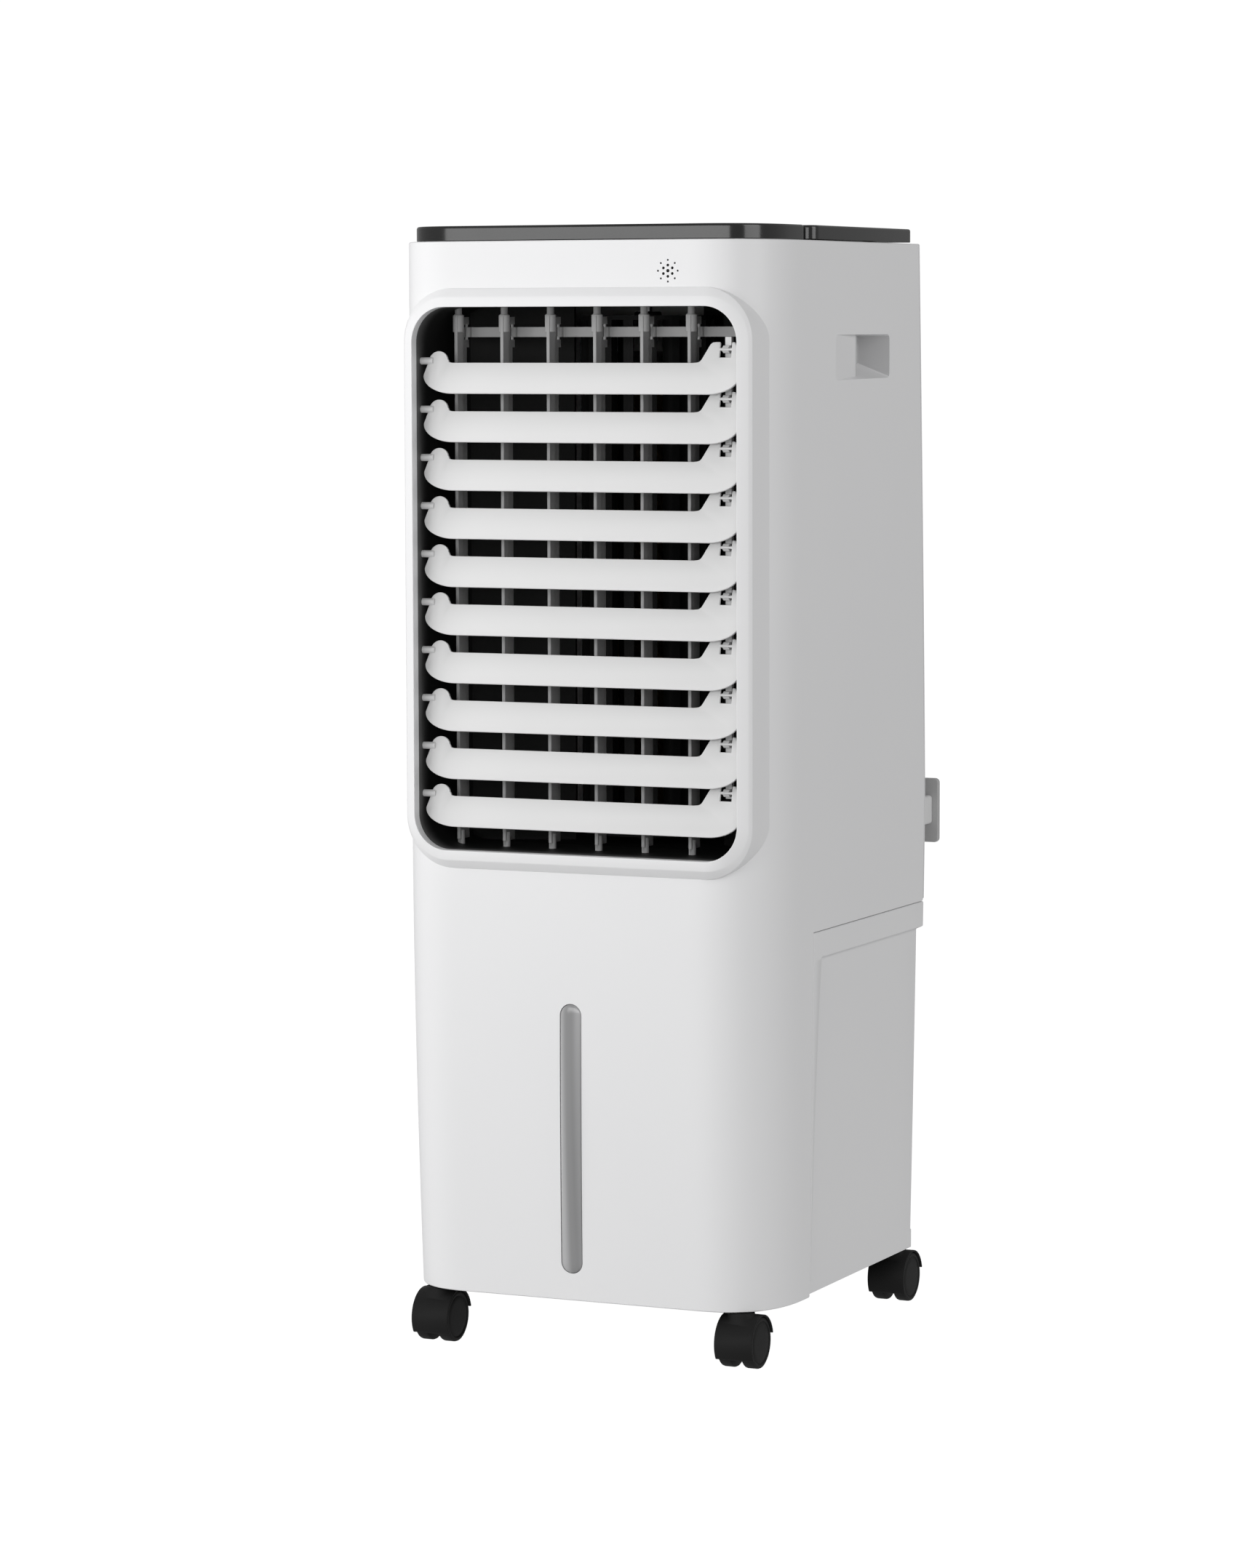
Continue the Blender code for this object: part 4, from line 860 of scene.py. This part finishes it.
def louver_outline():
    """Front view (x, distance above the pivot) of one louver blade."""
    margin = 2.7
    left = OUTLET_X - OUTLET_HALF[0] + margin
    right = OUTLET_X + OUTLET_HALF[0] - margin
    lobe = left + 10.0
    lobe_radius = (6.8, 6.4)
    tip = (22.0, 12.2)
    shoulder = -9.6
    arc = quarter_turns(14)
    points = [(lobe + 10.2, -1.3), (lobe + 8.0, -0.9), (lobe + 7.2, 0.6)]
    points += [(lobe + lobe_radius[0] * math.cos(2 * turn), lobe_radius[1] * math.sin(2 * turn))
               for turn in arc[1:]]
    points += [(left + tip[0] * (1 - math.cos(turn)), shoulder - tip[1] * math.sin(turn)) for turn in arc]
    points += [(right - tip[0] * (1 - math.sin(turn)), shoulder - tip[1] * math.cos(turn)) for turn in arc]
    points += [(right, -3.0), (right - 1.5, 6.0), (right - 4.5, 12.0), (right - 6.9, 12.2)]
    points += [(right - 6.9, 2.2), (right - 15.0, 2.2), (right - 15.0, 12.2)]
    points += fillet([(right - 15.0, 12.2), (right - 21.0, 12.2), (right - 28.2, -0.8), (right - 33.0, -1.3)],
                     2.5, 4)[1:]
    return points


def make_blade(kind, index, shape, edge, pins, material):
    """A numbered louver or vane: a blade with softened edges and its pins."""
    name = "%s_%d" % (kind, index + 1)
    blade = make_object("%s_blade_%d" % (kind, index + 1), shape, material)
    soften(blade, edge)
    for pin in pins:
        add(blade, pin)
    shade(blade, 35)
    install(blade, name, [name])


def make_louvers():
    """Ten tilting louvers."""
    left = OUTLET_X - OUTLET_HALF[0]
    right = OUTLET_X + OUTLET_HALF[0]
    for index in range(LOUVER_COUNT):
        pivot = Vector((OUTLET_X, LOUVER_Y, louver_z(index)))
        lean = Matrix.Rotation(-LOUVER_TILT, 3, "X")

        def turned(shape):
            vertices, faces = shape
            return [pivot + lean @ (Vector(v) - pivot) for v in vertices], faces

        outline = [(x, pivot.z + rise) for x, rise in louver_outline()]
        link_z = pivot.z + LOUVER_CRANK
        link_pin = cylinder("X", LOUVER_Y, link_z, LINK_PIN_RADIUS, right - 18.7, right - 8.6, 14)
        pins = (cylinder("X", LOUVER_Y, pivot.z, PIN_RADIUS, left - 2.6, left + 9.0, 20),
                cylinder("X", LOUVER_Y, pivot.z, PIN_RADIUS, right - 4.5, right + 2.6, 20),
                turned(link_pin))
        shape = turned(prism(outline, "Y", LOUVER_Y - 1.0, LOUVER_Y + 1.0))
        make_blade("louver", index, shape, 0.45, pins, LOUVER_WHITE_SHADED)


def clip_run(anchors, spine, grip, mouth, end):
    """Outline (a, b) of a link bar along a, with a C-clip at each anchor that opens towards smaller b."""
    points = []
    steps = 12
    outer = grip + 1.1
    start = math.asin(mouth / grip)
    turns = [-math.pi / 2 - start - (2 * math.pi - 2 * start) * i / steps for i in range(steps + 1)]
    for a in anchors:
        points += [(a - outer, spine), (a - outer, 0.0), (a - grip * math.sin(start), 0.2 - outer)]
        points += [(a + grip * math.cos(turn), grip * math.sin(turn)) for turn in turns]
        points += [(a + grip * math.sin(start), 0.2 - outer), (a + outer, 0.0), (a + outer, spine)]
    points += [(anchors[-1] + end, spine), (anchors[-1] + end, spine + 3.6)]
    points += [(anchors[0] - 4.0, spine + 3.6), (anchors[0] - 4.0, spine)]
    return points


def make_links():
    """The upright bar that tilts the louvers and the level bar that swings the vanes."""
    pin_y = LOUVER_Y + LOUVER_CRANK * math.sin(LOUVER_TILT)
    rise = LOUVER_CRANK * math.cos(LOUVER_TILT)
    heights = [louver_z(index) + rise for index in reversed(range(LOUVER_COUNT))]
    outline = [(pin_y + b, a) for a, b in clip_run(heights, 3.2, 1.35, 0.75, 8.0)]
    middle = OUTLET_X + OUTLET_HALF[0] - 2.7 - 10.9
    bar = make_object("louver_bar", prism(outline, "X", middle - 2.2, middle + 2.2), LOUVER_WHITE_SHADED)
    soften(bar, 0.25, 2)
    install(bar, "louver_bar", ["louver_link"])
    anchors = [vane_x(index) for index in range(VANE_COUNT)]
    outline = [(a, VANE_Y + VANE_CRANK + b) for a, b in clip_run(anchors, 3.0, 1.35, 0.75, 32.0)]
    bar = make_object("vane_bar", prism(outline, "Z", VANE_LINK_Z - 3.3, VANE_LINK_Z + 3.3), VANE_WHITE_SHADED)
    soften(bar, 0.25, 2)
    install(bar, "vane_bar", ["vane_link"])


def make_vanes():
    """Six swinging vanes."""
    top = OUTLET_Z + OUTLET_HALF[1]
    bottom = OUTLET_Z - OUTLET_HALF[1]
    front = VANE_Y - 4.0
    clip = VANE_LINK_Z
    ear = VANE_Y + VANE_CRANK + 1.6
    collar = PIN_RADIUS + 1.3
    top_pin = [(collar - 0.4, top - 16.5), (collar, top - 16.1), (collar, top - 5.4),
               (collar - 0.4, top - 5.0), (PIN_RADIUS, top - 4.5), (PIN_RADIUS, top + 2.7)]
    for index in range(VANE_COUNT):
        x = vane_x(index)
        side_view = [(front, bottom + 4.0), (front + 14.0, bottom + 4.0), (front + 14.0, clip - 10.0),
                     (ear, clip - 10.0), (ear, clip - 5.0), (VANE_Y + 6.5, clip - 5.0),
                     (VANE_Y + 6.5, clip + 5.0), (ear, clip + 5.0), (ear, clip + 10.0),
                     (front + 10.0, clip + 10.0), (front + 10.0, top - 6.0), (front, top - 6.0)]
        pins = (cylinder("Z", x, VANE_Y, PIN_RADIUS, bottom - 2.7, bottom + 10.0, 20),
                lathe("Z", x, VANE_Y, top_pin, 20),
                cylinder("Z", x, VANE_Y + VANE_CRANK, LINK_PIN_RADIUS, clip - 6.5, clip + 6.5, 14))
        make_blade("vane", index, prism(side_view, "X", x - 1.1, x + 1.1), 0.4, pins, VANE_WHITE_SHADED)


# ---- tank ----------------------------------------------------------
def tank_side_front(z):
    """Front edge of the tank's flank at a height."""
    top, bottom = TANK_SIDE_FRONT
    return bottom + (top - bottom) * z / SEAM


def tank_panel_front(z):
    """Front edge of the recessed side panel: it runs into the tank's own edge at the bottom."""
    share = min(1.0, max(0.0, (z - CASING_BOTTOM) / (262.0 - CASING_BOTTOM)))
    return tank_side_front(z) + 2.0 + 12.0 * share ** 2


def tank_outer(z, low, high, rim):
    """Outer plan of the tank at a height, with the recessed flank faired into the band above."""
    inset = edge_inset(z, low, high, rim)
    nose = front_corner(6.5, max(z, CASING_BOTTOM), 12)
    step = tank_side_front(z) + GAP
    band = ease((263.5 - z) / 3.0)
    edge = tank_panel_front(z)
    back = rear_at(z)
    right = nose + [(HALF - 6.5, step + 1.2), (HALF - 0.5 - inset, step + 0.05), (HALF - inset, step + 0.6)]
    flank = HALF - PANEL_INSET * band - inset
    reaches = [0.0, 0.4, 0.8, 1.2, 1.6, 2.0, 2.5, 3.0]
    right += [(HALF - inset - PANEL_INSET * band * ease(reach / 3.0), edge + reach) for reach in reaches]
    right += [(flank, edge + 12.0), (flank, edge + 60.0), (flank, back - 30.0)]
    radius = 6.0
    right += quarter(radius, (flank - radius, back - inset - radius))
    return [(x, y, z) for x, y in both_sides(right)]


def tank_inner(z, count):
    """Inner plan of the tank with a given number of points."""
    nose = front_corner(9.0, z, 12)
    flank = HALF - PANEL_INSET - WALL
    back = rear_at(z) - WALL
    step = tank_side_front(z) + 3.0
    extra = count // 2 - len(nose) - 1 - 9
    right = nose + [(HALF - 9.0, step)]
    right += [(flank, step + 0.5 + (back - 36.0 - step) * i / extra) for i in range(extra)]
    right += quarter(5.0, (flank - 5.0, back - 5.0))
    return [(x, y, z) for x, y in both_sides(right)]


def make_tank():
    """Water tank: a drawer whose flanks and back are part of the outside."""
    low, high, rim = TANK_BOTTOM, TANK_RIM, 1.0
    heights = [TANK_BOTTOM + (256.0 - TANK_BOTTOM) * i / 24 for i in range(25)]
    heights += [258.5, 260.5, 261.1, 261.7, 262.2, 262.7, 263.2, 263.8, 266, 270, 274]
    heights += [high - rim + rim * math.sin(turn) for turn in quarter_turns(4)]
    loops = [tank_outer(z, low - 20, high, rim) for z in heights]
    count = len(loops[0])
    loops += [tank_inner(z, count) for z in (high, 230, 150, TANK_BOTTOM + WALL)]
    tank = make_object("tank_shell", loft(loops), WHITE, 40)
    front = tank_side_front(CASING_BOTTOM) + GAP
    flank = HALF - PANEL_INSET
    back = rear_at(45)
    skirt = [(flank, front), (flank, back - 3), (flank - 3, back), (-flank + 3, back),
             (-flank, back - 3), (-flank, front), (-flank + WALL, front), (-flank + WALL, back - WALL),
             (flank - WALL, back - WALL), (flank - WALL, front)]
    add(tank, prism(skirt, "Z", CASING_BOTTOM, TANK_BOTTOM + 1.5))
    add(tank, prism(rounded(48, 14, 5, (0, TANK_GRIP_Z)), "Y", REAR - 14, rear_at(TANK_GRIP_Z) - 1.2))
    cut(tank, prism(rounded(45, 11, 4, (0, TANK_GRIP_Z)), "Y", REAR - 11, REAR + 40))
    seat = rear_at(DRAIN_Z) - 0.9
    cut(tank, cylinder("Y", DRAIN_X, DRAIN_Z, 12.5, seat, REAR + 20))
    cut(tank, cylinder("Y", DRAIN_X, DRAIN_Z, 5.0 + GAP, REAR - 20, REAR + 20))
    shade(tank, 32)
    install(tank, "tank", ["water_tank"])


# ---- cord hooks ----------------------------------------------------
def make_hooks():
    """T-shaped cleats for the mains lead: a white post and a cross plate whose darker grey is painted shade.
    """
    tip = REAR + HOOK_REACH
    plate_base = tip - 4.1
    base = rear_at(HOOK_Z) + 0.5
    for side, hand in ((1, "right"), (-1, "left")):
        outline = rounded(5.5, 10.0, 2.0, (side * HOOK_X, HOOK_Z), 6)
        post = make_object("hook_post_" + hand, prism(outline, "Y", base, plate_base - 0.1), HOOK)
        soften(post, 0.5)
        install(post, "body", ["cord_hook_" + hand])
        outline = rounded(9.7, 22.5, 3.0, (side * (HOOK_X + 0.2), HOOK_Z - 0.6), 6)
        plate = make_object("hook_plate_" + hand, prism(outline, "Y", plate_base, tip), HOOK_PLATE_SHADED)
        soften(plate, 0.6)
        install(plate, "body", [])


# ---- casters -------------------------------------------------------
def hood_arc(radius, start, end, steps=40):
    """Side view arc about the axle, angles in degrees from +Y."""
    turns = [math.radians(start + (end - start) * i / steps) for i in range(steps + 1)]
    return [(radius * math.cos(turn), WHEEL_RADIUS + radius * math.sin(turn)) for turn in turns]


def make_hood(name, x, stem_y):
    """Hood over both wheels, with its stem, middle web and axle."""
    axle_y = stem_y + CASTER_TRAIL
    shell = hood_arc(WHEEL_RADIUS + 1.7, 12, 212) + hood_arc(WHEEL_RADIUS + 0.5, 212, 12)
    shape = prism([(axle_y + a, b) for a, b in shell], "X", x - HOOD_HALF, x + HOOD_HALF)
    hood = make_object(name + "_hood_finish", shape, CASTER)
    soften(hood, 0.45)
    web = hood_arc(WHEEL_RADIUS + 1.0, 12, 212) + [(-7.0, WHEEL_RADIUS - 9.0), (6.0, WHEEL_RADIUS - 6.0)]
    add(hood, prism([(axle_y + a, b) for a, b in web], "X", x - 3.4, x + 3.4))
    stem = [(9.0, 29.0), (9.0, 36.9), (8.5, 37.4), (3.5, 37.4), (3.5, TANK_BOTTOM - 3.2)]
    add(hood, lathe("Z", x, stem_y, stem, 32))
    for low, high in ((x + 3.5, x + 30), (x - 30, x - 3.5)):
        cut(hood, cylinder("X", axle_y, WHEEL_RADIUS, WHEEL_RADIUS + 0.6, low, high, 64))
    reach = HOOD_HALF - 2.4
    add(hood, cylinder("X", axle_y, WHEEL_RADIUS, AXLE_RADIUS, x - reach, x + reach, 24))
    shade(hood, 35)
    install(hood, name, [name + "_hood"])


def make_wheel(name, x, axle_y, side):
    """One wheel of a caster, left (-1) or right (1) of its middle, with a ridge inside its rim."""
    inner = x + side * WHEEL_INNER
    outer = inner + side * WHEEL_WIDTH
    edge = WHEEL_RADIUS
    inside = ((6.0, 0.0), (edge - 1.2, 0.0), (edge - 0.3, 0.3), (edge, 1.1))
    face = ((edge, 1.6), (edge - 0.3, 0.6), (edge - 1.2, 0.1), (edge - 1.9, 0.0), (edge - 2.6, 0.15),
            (edge - 3.0, 0.7), (edge - 3.4, 0.75), (edge - 3.8, 0.4), (10.0, 0.25), (3.0, 0.2))
    profile = [(radius, inner + side * depth) for radius, depth in inside]
    profile += [(radius, outer - side * depth) for radius, depth in face]
    wheel = make_object(name + "_finish", lathe("X", axle_y, WHEEL_RADIUS, profile, 64), WHEEL, 40)
    bore_end = outer - side * 1.4
    bore = AXLE_RADIUS + GAP
    cut(wheel, cylinder("X", axle_y, WHEEL_RADIUS, bore, min(x, bore_end), max(x, bore_end), 24))
    install(wheel, name, [name])


def make_casters():
    """Four twin-wheel casters."""
    for row, (reach, stem_y) in (("front", CASTER_FRONT), ("rear", CASTER_REAR)):
        for hand, hand_side in (("left", -1), ("right", 1)):
            name = "caster_%s_%s" % (row, hand)
            x = hand_side * reach
            make_hood(name, x, stem_y)
            for label, side in (("_wheel_left", -1), ("_wheel_right", 1)):
                make_wheel(name + label, x, stem_y + CASTER_TRAIL, side)


# ---- carried-over CAD pieces ---------------------------------------
def dress_cad():
    """Give the pieces that come straight from the CAD their finished materials."""
    looks = {
        "base_chassis": BLACK, "top_deck": WHITE, "lid_hinge_pin_left": STEEL, "lid_hinge_pin_right": STEEL,
        "ice_box": GREY, "pump": BLACK, "riser_pipe": PIPE, "water_distributor": GREY, "cooling_pad": PAD,
        "pad_cassette": WHITE, "dust_filter": GREY, "blower_motor": STEEL, "impeller": BLACK,
        "impeller_bearing": RUBBER, "fan_duct": BLACK, "swing_motor": STEEL, "control_board": BOARD,
        "cord_gland": RUBBER, "drain_plug": GREY, "tank_lock": GREY,
    }
    for name, material in looks.items():
        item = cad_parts[name]
        item.data.materials.clear()
        item.data.materials.append(material)


# ---- stage, light and camera ---------------------------------------
VIEW_AZIMUTH = 24.449  # degrees from the front towards the right
VIEW_ELEVATION = 5.274
VIEW_ROLL = -0.159
VIEW_DISTANCE = 3377.0
VIEW_RIGHT = -21.5  # the point that the camera looks at
VIEW_HEIGHT = 370.2
VIEW_DEPTH = -20.25
VIEW_LENS = 114.3
SENSOR_HEIGHT = 36.0

FLOOR_BOUNCE = 0.42  # brightness of the floor as light on the object; the camera sees it white
ROOM_BOUNCE = 0.30  # the same for the surroundings
FLOOR_NEAR = -6000.0  # the floor runs from here, in front, to the foot of the backdrop
FLOOR_FAR = 3500.0
FLOOR_HALF = 1300.0
COVE_RADIUS = 1500.0
BACKDROP_TOP = 7000.0


def white_to_camera(tree, bounce, socket):
    """Set a brightness that is full for the camera and lower for light that falls on the object."""
    seen = tree.nodes.new("ShaderNodeLightPath").outputs["Is Camera Ray"]
    link_value(tree.nodes, tree.links, seen, bounce, 1.0, socket)


def make_stage():
    """Pale floor that curves up into a backdrop."""
    material = bpy.data.materials.new("stage_white")
    material.use_nodes = True
    shader = material.node_tree.nodes["Principled BSDF"]
    set_inputs(shader, {"Base Color": (*grey(0.04), 1.0), "Roughness": 0.9,
                        "Emission Color": (*grey(1.0), 1.0)})
    white_to_camera(material.node_tree, FLOOR_BOUNCE, shader.inputs["Emission Strength"])
    profile = [(FLOOR_NEAR, 0.0)] + quarter(COVE_RADIUS, (FLOOR_FAR, COVE_RADIUS), -math.pi / 2, 12)
    profile += [(FLOOR_FAR + COVE_RADIUS, BACKDROP_TOP)]
    turn = Matrix.Rotation(math.radians(VIEW_AZIMUTH), 3, "Z")
    points = [turn @ Vector((x, y, z)) for x in (-FLOOR_HALF, FLOOR_HALF) for y, z in profile]
    count = len(profile)
    faces = [(i, i + 1, count + i + 1, count + i) for i in range(count - 1)]
    floor = make_object("stage_floor", (points, faces), material, 60)


def area_light(name, power, size, position, target, mirrored=True):
    """A soft rectangular light aimed at a point, in metres; glossy parts show it only if it is mirrored."""
    data = bpy.data.lights.new(name, "AREA")
    data.shape = "RECTANGLE"
    data.size, data.size_y = size
    data.energy = power
    item = bpy.data.objects.new(name, data)
    item.location = position
    aim = Vector(target) - Vector(position)
    item.rotation_euler = aim.to_track_quat("-Z", "Y").to_euler()
    item.visible_glossy = mirrored
    bpy.context.scene.collection.objects.link(item)


def make_light():
    """Even white surroundings, a key on the left, a long strip in front and a soft fill on the right."""
    world = bpy.data.worlds.new("studio")
    world.use_nodes = True
    surroundings = world.node_tree.nodes["Background"]
    surroundings.inputs["Color"].default_value = (1.0, 1.0, 1.0, 1.0)
    white_to_camera(world.node_tree, ROOM_BOUNCE, surroundings.inputs["Strength"])
    bpy.context.scene.world = world
    area_light("key", 15.0, (1.2, 1.2), (-1.15, -1.0, 0.95), (0.0, 0.0, 0.52), mirrored=False)
    area_light("strip", 34.0, (4.4, 0.8), (0.15, -2.8, 0.86), (0.0, 0.0, 0.73))
    area_light("fill", 16.0, (1.4, 1.4), (2.4, -0.1, 1.3), (0.0, 0.0, 0.60))


def make_camera():
    """Camera in front of the machine and a little to its right, just below the height of the cap."""
    azimuth = math.radians(VIEW_AZIMUTH)
    elevation = math.radians(VIEW_ELEVATION)
    back = Vector((math.sin(azimuth) * math.cos(elevation), -math.cos(azimuth) * math.cos(elevation),
                   math.sin(elevation)))
    right = Vector((math.cos(azimuth), math.sin(azimuth), 0.0))
    up = back.cross(right)
    roll = math.radians(VIEW_ROLL)
    side = right * math.cos(roll) + up * math.sin(roll)
    rise = up * math.cos(roll) - right * math.sin(roll)
    place_at = back * VIEW_DISTANCE + right * VIEW_RIGHT + Vector((0.0, VIEW_DEPTH, VIEW_HEIGHT))
    data = bpy.data.cameras.new("view")
    data.sensor_fit = "VERTICAL"
    data.sensor_height = SENSOR_HEIGHT
    data.lens = VIEW_LENS
    camera = bpy.data.objects.new("view", data)
    matrix = Matrix((side, rise, back)).transposed().to_4x4()
    matrix.translation = place_at * MM
    camera.matrix_world = matrix
    bpy.context.scene.collection.objects.link(camera)
    bpy.context.scene.camera = camera


def build():
    """Make everything that is seen."""
    make_casing()
    make_lens()
    make_back_panel()
    make_cap()
    make_bezel()
    make_duct()
    make_louvers()
    make_links()
    make_vanes()
    make_tank()
    make_hooks()
    make_casters()
    dress_cad()
    make_stage()
    make_light()
    make_camera()
    bpy.context.scene.view_settings.view_transform = "Standard"


build()
